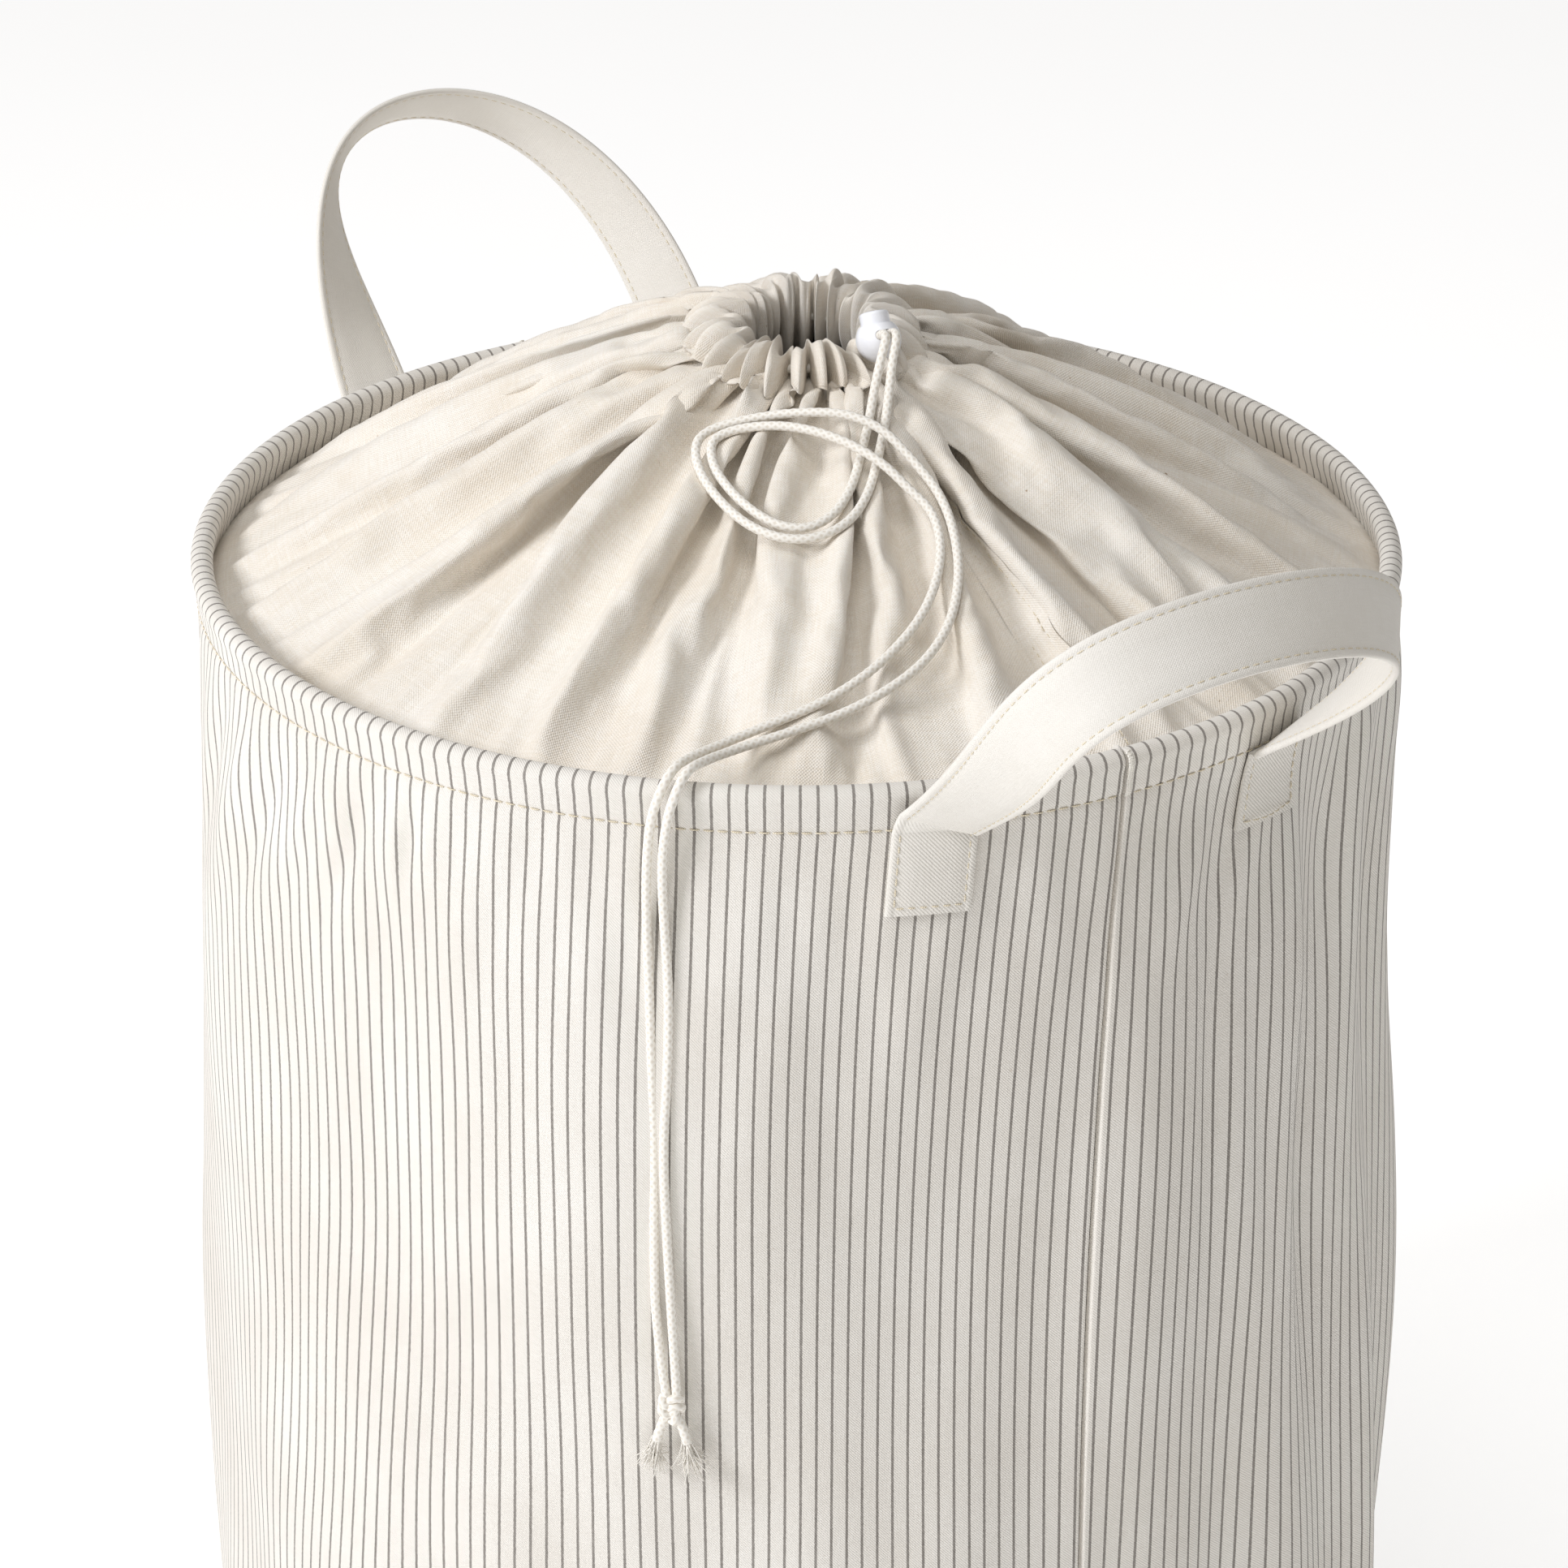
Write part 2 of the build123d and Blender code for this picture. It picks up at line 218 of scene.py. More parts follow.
def subdivide(obj):
    """Adds one level of smooth subdivision."""
    modifier = obj.modifiers.new("smooth", "SUBSURF")
    modifier.levels = 1
    modifier.render_levels = 1


# ------------------------ materials
class Nodes:
    """A short way to write a material's nodes."""

    def __init__(self, name):
        self.material = bpy.data.materials.new(name)
        self.material.use_nodes = True
        self.tree = self.material.node_tree
        self.shader = self.tree.nodes["Principled BSDF"]
        coordinates = self.tree.nodes.new("ShaderNodeTexCoord")
        split = self.tree.nodes.new("ShaderNodeSeparateXYZ")
        self.tree.links.new(coordinates.outputs["UV"], split.inputs[0])
        self.uv = coordinates.outputs["UV"]
        self.place = coordinates.outputs["Object"]
        self.u, self.v = split.outputs[0], split.outputs[1]

    def put(self, socket, value):
        """Links or sets a socket."""
        if isinstance(value, bpy.types.NodeSocket):
            self.tree.links.new(value, socket)
        else:
            socket.default_value = value

    def math(self, operation, a, b=0.0, c=0.0):
        """A math node's result."""
        node = self.tree.nodes.new("ShaderNodeMath")
        node.operation = operation
        for socket, value in zip(node.inputs, (a, b, c)):
            self.put(socket, value)
        return node.outputs[0]

    def scaled(self, vector, x, y, z=1.0):
        """A vector with each part multiplied."""
        node = self.tree.nodes.new("ShaderNodeMapping")
        self.put(node.inputs["Vector"], vector)
        node.inputs["Scale"].default_value = (x, y, z)
        return node.outputs[0]

    def noise(self, vector, scale, detail=2.0, roughness=0.5):
        """Soft noise from 0 to 1."""
        node = self.tree.nodes.new("ShaderNodeTexNoise")
        self.put(node.inputs["Vector"], vector)
        node.inputs["Scale"].default_value = scale
        node.inputs["Detail"].default_value = detail
        node.inputs["Roughness"].default_value = roughness
        return node.outputs["Fac"]

    def ramp(self, value, low, high, to_low=0.0, to_high=1.0):
        """The value moved from one range to another, smoothly and clamped."""
        node = self.tree.nodes.new("ShaderNodeMapRange")
        node.interpolation_type = "SMOOTHSTEP"
        for name, number in (("Value", value), ("From Min", low), ("From Max", high)):
            self.put(node.inputs[name], number)
        self.put(node.inputs["To Min"], to_low)
        self.put(node.inputs["To Max"], to_high)
        return node.outputs["Result"]

    def mix(self, share, first, second):
        """A colour between two colours."""
        node = self.tree.nodes.new("ShaderNodeMix")
        node.data_type = "RGBA"
        self.put(node.inputs[0], share)
        self.put(node.inputs[6], first)
        self.put(node.inputs[7], second)
        return node.outputs[2]

    def bump(self, height, distance, strength=1.0, normal=None):
        """A normal from a height in metres."""
        node = self.tree.nodes.new("ShaderNodeBump")
        node.inputs["Distance"].default_value = distance
        node.inputs["Strength"].default_value = strength
        self.put(node.inputs["Height"], height)
        if normal is not None:
            self.put(node.inputs["Normal"], normal)
        return node.outputs["Normal"]

    def finish(self, colour, roughness, normal, sheen=0.0, coat=0.0):
        """Sets the shader."""
        self.put(self.shader.inputs["Base Color"], colour)
        self.put(self.shader.inputs["Roughness"], roughness)
        self.put(self.shader.inputs["Normal"], normal)
        self.shader.inputs["Sheen Weight"].default_value = sheen
        self.shader.inputs["Coat Weight"].default_value = coat
        return self.material


def colour(red, green, blue):
    """A colour from its screen values, 0 to 255."""
    return tuple((value / 255) ** 2.2 for value in (red, green, blue)) + (1.0,)


def weave_height(nodes, pitch, twill):
    """Over and under threads, from -1 to 1. twill steps them sideways along the cloth."""
    across = nodes.math("MULTIPLY", nodes.u, 2 * math.pi / pitch)
    along = nodes.math("MULTIPLY", nodes.v, 2 * math.pi / pitch)
    if twill:
        return nodes.math("SINE", nodes.math("ADD", across, along))
    return nodes.math("MULTIPLY", nodes.math("SINE", across), nodes.math("SINE", along))


def cloth_material(name, light, dark, pitch, twill=False, stripe=None, flecks=0.0, relief=0.12, slubs=0.5):
    """Woven cloth: threads with painted shade in the weave's dips, thicker and thinner yarns each way, uneven
    dye and small dark flecks.
    """
    nodes = Nodes(name)
    threads = weave_height(nodes, pitch * MM, twill)
    thick_along = nodes.noise(nodes.scaled(nodes.uv, yarns_per_metre, slubs_per_metre), 1.0, 2.0)
    thick_across = nodes.noise(nodes.scaled(nodes.uv, slubs_per_metre, yarns_per_metre), 1.0, 2.0)
    yarns = nodes.math("ADD", thick_along, thick_across)
    patches = nodes.noise(nodes.place, 22.0, 3.0)
    shade = nodes.math("MULTIPLY_ADD", nodes.math("SUBTRACT", yarns, 1.0), slubs, patches)
    # The weave's low threads are painted a little darker: painted shade between the threads.
    shade = nodes.math("MULTIPLY_ADD", threads, 0.16, shade)
    tint = nodes.mix(nodes.ramp(shade, 0.1, 0.9), dark, light)
    if stripe:
        stripe_pitch, stripe_width, stripe_colour = stripe
        turns = nodes.math("DIVIDE", nodes.u, stripe_pitch)
        offset = nodes.math("ABSOLUTE", nodes.math("SUBTRACT", nodes.math("FRACT", turns), 0.5))
        distance = nodes.math("MULTIPLY", offset, stripe_pitch)
        ragged = nodes.noise(nodes.scaled(nodes.uv, 900, 900), 1.0, 1.0)
        edge = nodes.math("MULTIPLY_ADD", ragged, 0.35 * MM, stripe_width / 2 - 0.17 * MM)
        edge_start = nodes.math("SUBTRACT", edge, stripe_softness)
        edge_end = nodes.math("ADD", edge, stripe_softness)
        inside = nodes.ramp(distance, edge_start, edge_end, 1.0, 0.0)
        strength = nodes.math("MULTIPLY_ADD", yarns, 0.3, 0.58)
        tint = nodes.mix(nodes.math("MULTIPLY", inside, strength), tint, stripe_colour)
    if flecks:
        specks = nodes.noise(nodes.scaled(nodes.uv, 260, 330), 1.0, 1.0)
        fleck_share = nodes.math("MULTIPLY", nodes.ramp(specks, 0.79, 0.84), flecks)
        tint = nodes.mix(fleck_share, tint, fleck_colour)
    height = nodes.math("MULTIPLY_ADD", nodes.math("SUBTRACT", yarns, 1.0), 1.6, threads)
    normal = nodes.bump(height, relief * MM, 0.55)
    roughness = nodes.ramp(yarns, 0.6, 1.4, 0.82, 0.96)
    return nodes.finish(tint, roughness, normal, sheen=0.12)


def cord_material(name, light, dark):
    """Braided cord: light yarns with painted shade in the creases between them, and uneven fibre tone."""
    nodes = Nodes(name)
    turns = nodes.math("MULTIPLY", nodes.u, 2 * math.pi * braid_yarns)
    steps = nodes.math("MULTIPLY", nodes.v, 2 * math.pi / braid_pitch)
    right = nodes.math("COSINE", nodes.math("ADD", turns, steps))
    left = nodes.math("COSINE", nodes.math("SUBTRACT", turns, steps))
    yarns = nodes.math("MAXIMUM", right, left)
    fibres = nodes.noise(nodes.scaled(nodes.uv, 30, 900), 1.0, 2.0)
    # The braid's creases are painted darker: painted shade, mixed with the fibres' own uneven tone.
    shade = nodes.math("MULTIPLY_ADD", fibres, 0.5, nodes.math("MULTIPLY", yarns, 0.5))
    tint = nodes.mix(nodes.ramp(shade, -0.2, 0.7), dark, light)
    height = nodes.math("MULTIPLY_ADD", fibres, 0.6, yarns)
    normal = nodes.bump(height, 0.1 * MM, 0.4)
    return nodes.finish(tint, nodes.ramp(fibres, 0.2, 0.8, 0.8, 0.95), normal, sheen=0.1)


def thread_material(name, light, dark):
    """Sewing thread: two plies that twist, with painted shade in the groove between them."""
    nodes = Nodes(name)
    around = nodes.math("MULTIPLY", nodes.u, 2 * math.pi)
    twist = nodes.math("SINE", nodes.math("MULTIPLY_ADD", nodes.v, thread_twist, around))
    # The groove between the plies is painted darker: painted shade.
    tint = nodes.mix(nodes.ramp(twist, -1.0, 0.6), dark, light)
    return nodes.finish(tint, nodes.ramp(twist, -1.0, 1.0, 0.7, 0.55), nodes.bump(twist, 0.05 * MM, 0.5))


def plastic_material(name, light, dark):
    """Moulded plastic: faint cloudiness and a fine satin texture."""
    nodes = Nodes(name)
    cloud = nodes.noise(nodes.place, 180.0, 3.0)
    grain = nodes.noise(nodes.place, 5200.0, 2.0)
    tint = nodes.mix(nodes.ramp(cloud, 0.3, 0.7), dark, light)
    roughness = nodes.ramp(cloud, 0.2, 0.8, 0.26, 0.36)
    return nodes.finish(tint, roughness, nodes.bump(grain, 0.012 * MM, 0.3), coat=0.15)


def metal_material(name, tone):
    """Drawn wire: fine streaks and slight wear."""
    nodes = Nodes(name)
    streaks = nodes.noise(nodes.scaled(nodes.place, 300, 300, 4000), 1.0, 3.0)
    wear = nodes.noise(nodes.place, 90.0, 4.0)
    tint = nodes.mix(nodes.ramp(wear, 0.35, 0.7), tone, tuple(0.8 * part for part in tone[:3]) + (1.0,))
    nodes.shader.inputs["Metallic"].default_value = 1.0
    return nodes.finish(tint, nodes.ramp(streaks, 0.2, 0.8, 0.25, 0.42), nodes.bump(streaks, 0.01 * MM, 0.4))


def board_material(name, light, dark):
    """Pressed fibre board: short fibres at every angle."""
    nodes = Nodes(name)
    fibres = nodes.noise(nodes.scaled(nodes.place, 500, 120), 1.0, 5.0, 0.7)
    tint = nodes.mix(nodes.ramp(fibres, 0.3, 0.7), dark, light)
    return nodes.finish(tint, nodes.ramp(fibres, 0.2, 0.8, 0.75, 0.9), nodes.bump(fibres, 0.1 * MM, 0.5))


cord_diameter = 3.2 * MM
braid_yarns = 4
braid_pitch = 2.9 * MM
thread_twist = 9000.0  # radians in a metre
stripe_count = 237
rim_girth = 2 * math.pi * rim_radius
stripe_pitch = rim_girth / stripe_count
stripe_width = 0.95 * MM
stripe_softness = 0.12 * MM
fleck_colour = colour(150, 118, 84)
yarns_per_metre = 1500
slubs_per_metre = 110

striped_canvas = cloth_material(
    "striped_canvas",
    colour(233, 229, 222),
    colour(222, 216, 207),
    pitch=1.0,
    twill=True,
    stripe=(stripe_pitch, stripe_width, colour(122, 116, 110)),
    flecks=0.25,
)
calico = cloth_material(
    "calico", colour(240, 235, 227), colour(229, 219, 204), pitch=1.1, flecks=0.75, relief=0.2, slubs=0.8
)
webbing = cloth_material("webbing", colour(231, 227, 220), colour(223, 218, 209), pitch=0.9, relief=0.1)
patch_cloth = cloth_material(
    "patch_cloth", colour(232, 228, 221), colour(221, 216, 207), pitch=1.3, twill=True, relief=0.14
)
# The cord's darker colour is painted shade in the braid's creases, with some uneven fibre tone.
cord_cotton = cord_material("cord_cotton", colour(241, 237, 229), colour(221, 213, 200))
# Both threads' darker colours are painted shade in the groove between the plies.
thread_cotton = thread_material("thread_cotton", colour(232, 222, 200), colour(198, 184, 156))
white_thread = thread_material("white_thread", colour(246, 243, 236), colour(222, 216, 204))
plastic = plastic_material("lock_plastic_satin", colour(244, 245, 249), colour(236, 237, 242))
steel = metal_material("drawn_steel", (0.6, 0.6, 0.6, 1.0))
hoop_coating = metal_material("hoop_wire", (0.7, 0.7, 0.7, 1.0))
fibre_board = board_material("fibre_board", colour(214, 207, 196), colour(186, 176, 160))


# ------------------------ cords: splines first, tubes after
lock_joint = joints["lock_slide"]
bore = np.array(lock_joint["axis"])
press = -np.array(joints["plunger_press"]["axis"])
bore_side = np.cross(press, bore)
ball_centre = np.array([33.0, 13.0, 628.0]) * MM
ball_radius = 7.75 * MM
cord_spacing = 3.5 * MM
cord_height = 0.6 * MM


def bore_point(along, side):
    """A point of a cord near the lock, along the bore from the ball's centre and left or right of it."""
    return tuple(ball_centre + press * cord_height + bore_side * (side * cord_spacing / 2) + bore * along)


# The free cords, as left and right are seen from in front of the knot. Points 13 to 19 lie a few mm nearer
# the cloth than those of the CAD cords.
left_tail_route = [
    (0.0470, 0.0076, 0.6342),
    (0.0503, 0.0036, 0.6286),
    (0.0535, -0.0008, 0.6200),
    (0.0600, -0.0068, 0.6110),
    (0.0700, -0.0156, 0.6052),
    (0.0810, -0.0254, 0.5998),
    (0.0886, -0.0362, 0.5950),
    (0.0902, -0.0466, 0.5926),
    (0.0854, -0.0546, 0.5930),
    (0.0760, -0.0594, 0.5954),
    (0.0630, -0.0616, 0.5992),
    (0.0506, -0.0610, 0.6032),
    (0.0416, -0.0572, 0.6074),
    (0.0400, -0.0515, 0.6095),
    (0.0435, -0.0440, 0.6115),
    (0.0510, -0.0350, 0.6130),
    (0.0605, -0.0270, 0.6125),
    (0.0705, -0.0205, 0.6105),
    (0.0815, -0.0140, 0.6060),
    (0.0910, -0.0095, 0.5990),
    (0.1000, -0.0060, 0.5940),
    (0.1115, -0.0095, 0.5880),
    (0.1235, -0.0180, 0.5815),
    (0.1340, -0.0300, 0.5750),
    (0.1420, -0.0450, 0.5695),
    (0.1470, -0.0620, 0.5640),
    (0.1485, -0.0780, 0.5600),
    (0.1480, -0.0920, 0.5575),
    (0.1480, -0.1050, 0.5555),
    (0.1500, -0.1165, 0.5550),
    (0.1535, -0.1265, 0.5555),
    (0.1575, -0.1345, 0.5560),
    (0.1605, -0.1410, 0.5510),
    (0.1595, -0.1445, 0.5405),
    (0.1575, -0.1450, 0.5240),
    (0.1570, -0.1450, 0.5030),
    (0.1582, -0.1448, 0.4800),
    (0.1600, -0.1454, 0.4520),
    (0.1616, -0.1456, 0.4240),
    (0.1626, -0.1468, 0.3880),
    (0.1640, -0.1474, 0.3580),
]
right_tail_route = [
    (0.0476, 0.0114, 0.6343),
    (0.0514, 0.0076, 0.6290),
    (0.0554, 0.0040, 0.6206),
    (0.0632, -0.0022, 0.6112),
    (0.0742, -0.0116, 0.6046),
    (0.0860, -0.0220, 0.5984),
    (0.0938, -0.0336, 0.5936),
    (0.0950, -0.0464, 0.5908),
    (0.0896, -0.0572, 0.5908),
    (0.0784, -0.0638, 0.5930),
    (0.0636, -0.0664, 0.5972),
    (0.0486, -0.0656, 0.6022),
    (0.0378, -0.0610, 0.6070),
    (0.0350, -0.0540, 0.6095),
    (0.0385, -0.0445, 0.6120),
    (0.0450, -0.0345, 0.6145),
    (0.0530, -0.0255, 0.6165),
    (0.0615, -0.0160, 0.6170),
    (0.0715, -0.0080, 0.6135),
    (0.0825, -0.0030, 0.6050),
    (0.0955, 0.0000, 0.5970),
    (0.1115, -0.0040, 0.5885),
    (0.1270, -0.0120, 0.5805),
    (0.1410, -0.0240, 0.5730),
    (0.1505, -0.0390, 0.5670),
    (0.1550, -0.0560, 0.5625),
    (0.1555, -0.0730, 0.5585),
    (0.1540, -0.0900, 0.5560),
    (0.1530, -0.1045, 0.5545),
    (0.1545, -0.1155, 0.5545),
    (0.1580, -0.1245, 0.5555),
    (0.1615, -0.1320, 0.5560),
    (0.1645, -0.1380, 0.5510),
    (0.1635, -0.1410, 0.5405),
    (0.1610, -0.1415, 0.5240),
    (0.1605, -0.1405, 0.5030),
    (0.1626, -0.1402, 0.4800),
    (0.1642, -0.1418, 0.4520),
    (0.1652, -0.1446, 0.4240),
    (0.1666, -0.1440, 0.3880),
    (0.1682, -0.1434, 0.3580),
]
knot_centre = np.array([168.6, -144.2, 329.0]) * MM
knot_heading = math.radians(49.5)
knot_across = np.array([math.cos(knot_heading), math.sin(knot_heading), 0.0])
knot_entry_rise = 3.9 * MM
knot_size = 3.5 * MM


def knot_entry(side):
    """Where a cord goes into the knot."""
    return tuple(knot_centre + knot_across * (side * cord_spacing / 2) + np.array([0, 0, knot_entry_rise]))


def spline_points(control_points):
    """Points along the smooth spline of a route."""
    data = bpy.data.curves.new("route", "CURVE")
    data.dimensions = "3D"
    data.resolution_u = 14
    spline = data.splines.new("NURBS")
    spline.points.add(len(control_points) - 1)
    for point, place in zip(spline.points, control_points):
        point.co = (*place, 1.0)
    spline.order_u = 3
    spline.use_endpoint_u = True
    route = add_object("route", data)
    bpy.context.view_layer.update()
    line = bpy.data.meshes.new_from_object(route)
    points = np.array([vertex.co for vertex in line.vertices])
    bpy.data.objects.remove(route)
    return points


def braid_relief(along, turn):
    """Height of the braid's yarns on the cord."""
    steps = 2 * math.pi * along / braid_pitch
    yarns = np.maximum(np.cos(braid_yarns * turn + steps), np.cos(braid_yarns * turn - steps))
    return 0.06 * MM * (yarns - 0.6)


def cord_object(name, line):
    """A braided cord along a line of points."""
    points = resampled(line, int(arc_lengths(line)[-1] / (0.42 * MM)))
    tube = tube_parts(points, cord_diameter / 2 - 0.05 * MM, 16, braid_relief)
    return joined_object(name, [tube], cord_cotton), points


tail_exit = ball_radius + 3.5 * MM
cord_lines = {}
for tail_name, side, route in (("tail_left", -1, left_tail_route), ("tail_right", 1, right_tail_route)):
    control_points = [bore_point(ball_radius, side), bore_point(tail_exit, side), *route, knot_entry(side)]
    tail, cord_lines[tail_name] = cord_object(tail_name, spline_points(control_points))


# ------------------------ collar and channel
def smooth_noise(turn, waves, seed):
    """A smooth random line around the bag, of about unit size, from whole waves."""
    random = np.random.default_rng(seed)
    total = np.zeros_like(turn)
    for wave in waves:
        total += random.normal() * np.sin(wave * turn + random.uniform(0, 2 * math.pi))
    return total / math.sqrt(len(waves))


collar_columns = 340
collar_rows = 44
collar_depth = 206 * MM
collar_foot = collar_low.z + 2 * MM
mouth_centre = np.array([3.0, 2.0]) * MM
gather_radius = 33.0 * MM
gather_height = channel_low.z + 11.5 * MM
mouth_lean = 2.5 * MM
low_side = math.radians(-30)
pleat_count = 28
rib_count = 58
rib_depth = 0.9 * MM
deepest_pleat = 60 * MM
# The collar is sewn to its channel a little turned near its seam, in shares of a whole turn.
seam_twist = 0.05
seam_twist_reach = 0.13


def gather_level(turn):
    """Height of the gathered line, which leans down towards its low side."""
    return gather_height - mouth_lean * np.cos(turn - low_side)


def gathered_line(depth):
    """The pleated line along which the collar is stitched to its channel, with pleats of this depth."""
    turn = np.linspace(0, 2 * math.pi, 6001)
    phase = pleat_count * turn + 1.6 * smooth_noise(turn, range(1, 8), seed=1)
    size = 1 + 0.25 * np.tanh(smooth_noise(turn, range(2, 12), seed=2))
    wave = size * np.sin(phase) + 0.28 * np.sin(2 * phase + 2 * smooth_noise(turn, range(1, 9), seed=3))
    lift = 0.2 * np.cos(phase + smooth_noise(turn, range(1, 6), seed=4))
    radius = gather_radius + depth * wave
    return np.stack(
        [
            mouth_centre[0] + radius * np.cos(turn),
            mouth_centre[1] + radius * np.sin(turn),
            gather_level(turn) + depth * lift,
        ],
        axis=1,
    )


def gathered_edge():
    """Where each column of the collar meets the channel: pleats as deep as the cloth's full width needs."""
    shallow, deep = 0.0, deepest_pleat
    for _ in range(40):
        depth = (shallow + deep) / 2
        if arc_lengths(gathered_line(depth))[-1] < 2 * math.pi * collar_radius:
            shallow = depth
        else:
            deep = depth
    line = gathered_line(shallow)
    along = arc_lengths(line)
    turn = np.arange(collar_columns) / collar_columns
    around_seam = np.minimum(turn, 1 - turn)
    twist = seam_twist * np.exp(-((around_seam / seam_twist_reach) ** 2))
    wanted = ((turn + twist) % 1.0) * along[-1]
    return at_distances(wanted, along, line)


def gather_by_cloth(tube, edge):
    """Draws the top of a cloth tube in to its gathered edge, and lets the rest fall into folds."""
    drawing, settling = 50, 26
    faces = grid_faces(collar_rows, collar_columns, closed=True)
    cloth = mesh_object("collar_tube", tube.reshape(-1, 3), faces)
    top = (collar_rows - 1) * collar_columns
    held = cloth.vertex_groups.new(name="held")
    held.add(list(range(collar_columns)) + list(range(top, top + collar_columns)), 1.0, "REPLACE")
    cloth.shape_key_add(name="Basis")
    key = cloth.shape_key_add(name="gathered")
    for column, place in enumerate(edge):
        key.data[top + column].co = place
    for value, moment in ((0.0, 1), (1.0, drawing)):
        key.value = value
        key.keyframe_insert("value", frame=moment)
    modifier = cloth.modifiers.new("cloth", "CLOTH")
    settings = modifier.settings
    settings.quality = 6
    settings.mass = 0.1
    settings.tension_stiffness = 30
    settings.compression_stiffness = 30
    settings.shear_stiffness = 8
    settings.bending_stiffness = 6
    settings.tension_damping = settings.compression_damping = settings.shear_damping = 5
    settings.vertex_group_mass = "held"
    modifier.collision_settings.use_collision = False
    modifier.point_cache.frame_end = drawing + settling
    for moment in range(1, drawing + settling + 1):
        bpy.context.scene.frame_set(moment)
    depsgraph = bpy.context.evaluated_depsgraph_get()
    result = bpy.data.meshes.new_from_object(cloth.evaluated_get(depsgraph))
    points = np.array([vertex.co for vertex in result.vertices]).reshape(tube.shape)
    bpy.data.objects.remove(cloth)
    bpy.data.meshes.remove(result)
    bpy.context.scene.frame_set(1)
    return points


def collar_points():
    """The collar's grid of points, from the rim to the channel."""
    edge = gathered_edge()
    turn = np.arange(collar_columns) / collar_columns * 2 * math.pi
    random = np.random.default_rng(7)
    share = np.linspace(0, 1, collar_rows)
    radius = collar_radius * (1 + random.normal(0, 0.0015, (collar_rows, collar_columns)))
    radius[0] = collar_radius
    height = (collar_foot + collar_depth * share)[:, None]
    tube = ring_points(turn, radius, height)
    return gather_by_cloth(tube, edge)


def pressed_under(points, lines, clearance):
    """The cloth pushed down where the cords lie on it."""
    flat = points.reshape(-1, 3)
    line = np.concatenate([resampled(each, int(arc_lengths(each)[-1] / (2 * MM))) for each in lines])
    reach = 10 * MM
    far_above = 1.0
    batch = 2000
    for start in range(0, len(flat), batch):
        part = flat[start : start + batch]
        distance = np.linalg.norm(part[:, None, :2] - line[None, :, :2], axis=2)
        ceiling = line[None, :, 2] - clearance + distance**2 / reach
        ceiling[distance > reach] = far_above
        part[:, 2] = np.minimum(part[:, 2], ceiling.min(axis=1))
    return points


# How many columns of the cloth its folds and its lift are averaged over, and how far it puffs up, in mm.
fold_reach = 16
lift_reach = 6
puff_near = 1.0
puff_far = 8.0


def collar_profile():
    """Radii and heights of the upper side of the CAD collar, from the channel to the rim."""
    mesh = frame["nodes"]["collar"].data
    upper = {}
    for vertex in mesh.vertices:
        radius = round(math.hypot(vertex.co.x, vertex.co.y), 4)
        upper[radius] = max(vertex.co.z, upper.get(radius, 0.0))
    radii = sorted(upper)
    return np.array(radii), np.array([upper[radius] for radius in radii])


def around_mean(values, reach):
    """Each value's smooth average with its neighbours around the collar."""
    weights = np.hanning(2 * reach + 3)[1:-1]
    shifts = range(-reach, reach + 1)
    total = sum(weight * np.roll(values, shift, axis=1) for shift, weight in zip(shifts, weights))
    return total / weights.sum()


def puffed(points):
    """The cloth lifted to the CAD collar with its folds kept, and puffed up a little on its far side."""
    turn = np.arange(collar_columns) / collar_columns * 2 * math.pi
    mean_radius = around_mean(np.hypot(points[..., 0], points[..., 1]), fold_reach)
    mean_height = around_mean(points[..., 2], fold_reach)
    far_side = (1 - np.cos(turn - low_side)) / 2
    to_rim = np.clip(mean_radius / collar_radius, 0, 1)
    puff = (puff_near + puff_far * far_side) * MM * (1 - to_rim**6)
    lift = np.interp(mean_radius, *collar_profile()) + puff - mean_height
    lift = around_mean(lift, lift_reach)
    lift[0] = 0
    lift[-1] = 0
    lift[1:-1] = (lift[:-2] + 2 * lift[1:-1] + lift[2:]) / 4
    points[..., 2] += lift
    return points


collar_grid = puffed(collar_points())
share_on_collar = 0.55
cord_clearance = cord_diameter / 2 + 0.3 * MM
on_collar = [line[: int(len(line) * share_on_collar)] for line in cord_lines.values()]
collar_grid[1:-1] = pressed_under(collar_grid[1:-1], on_collar, cord_clearance)
cloth_u = np.linspace(0, 2 * math.pi * collar_radius, collar_columns + 1)
cloth_v = np.linspace(0, collar_depth, collar_rows)
collar_uv = np.stack(np.meshgrid(cloth_u, cloth_v), axis=2)
collar = grid_object("collar_cloth", collar_grid, collar_uv, calico, closed=True)
subdivide(collar)

# The channel goes on from the gathered line, over its lip and down inside the mouth. Each row is a radius and
# a rise in mm, and how much of the collar's pleats and of the channel's own fine ribs there is.
channel_profile = [
    (32.6, -1.2, 0.97, 0.0),
    (33.4, 2.0, 0.86, 0.1),
    (33.2, 5.2, 0.68, 0.3),
    (31.6, 8.2, 0.54, 0.55),
    (29.0, 10.2, 0.44, 0.8),
    (26.0, 10.6, 0.36, 1.0),
    (23.6, 8.8, 0.3, 1.1),
    (22.2, 5.2, 0.27, 1.2),
    (21.6, 1.0, 0.26, 1.2),
    (21.8, -3.5, 0.3, 1.1),
    (23.0, -8.5, 0.4, 0.8),
    (25.5, -14.0, 0.5, 0.5),
]


def between_points(ring):
    """A closed ring of points with a point put smoothly between each two."""
    middle = (9 * (ring + np.roll(ring, -1, 0)) - np.roll(ring, 1, 0) - np.roll(ring, -2, 0)) / 16
    return np.stack([ring, middle], axis=1).reshape(-1, 3)


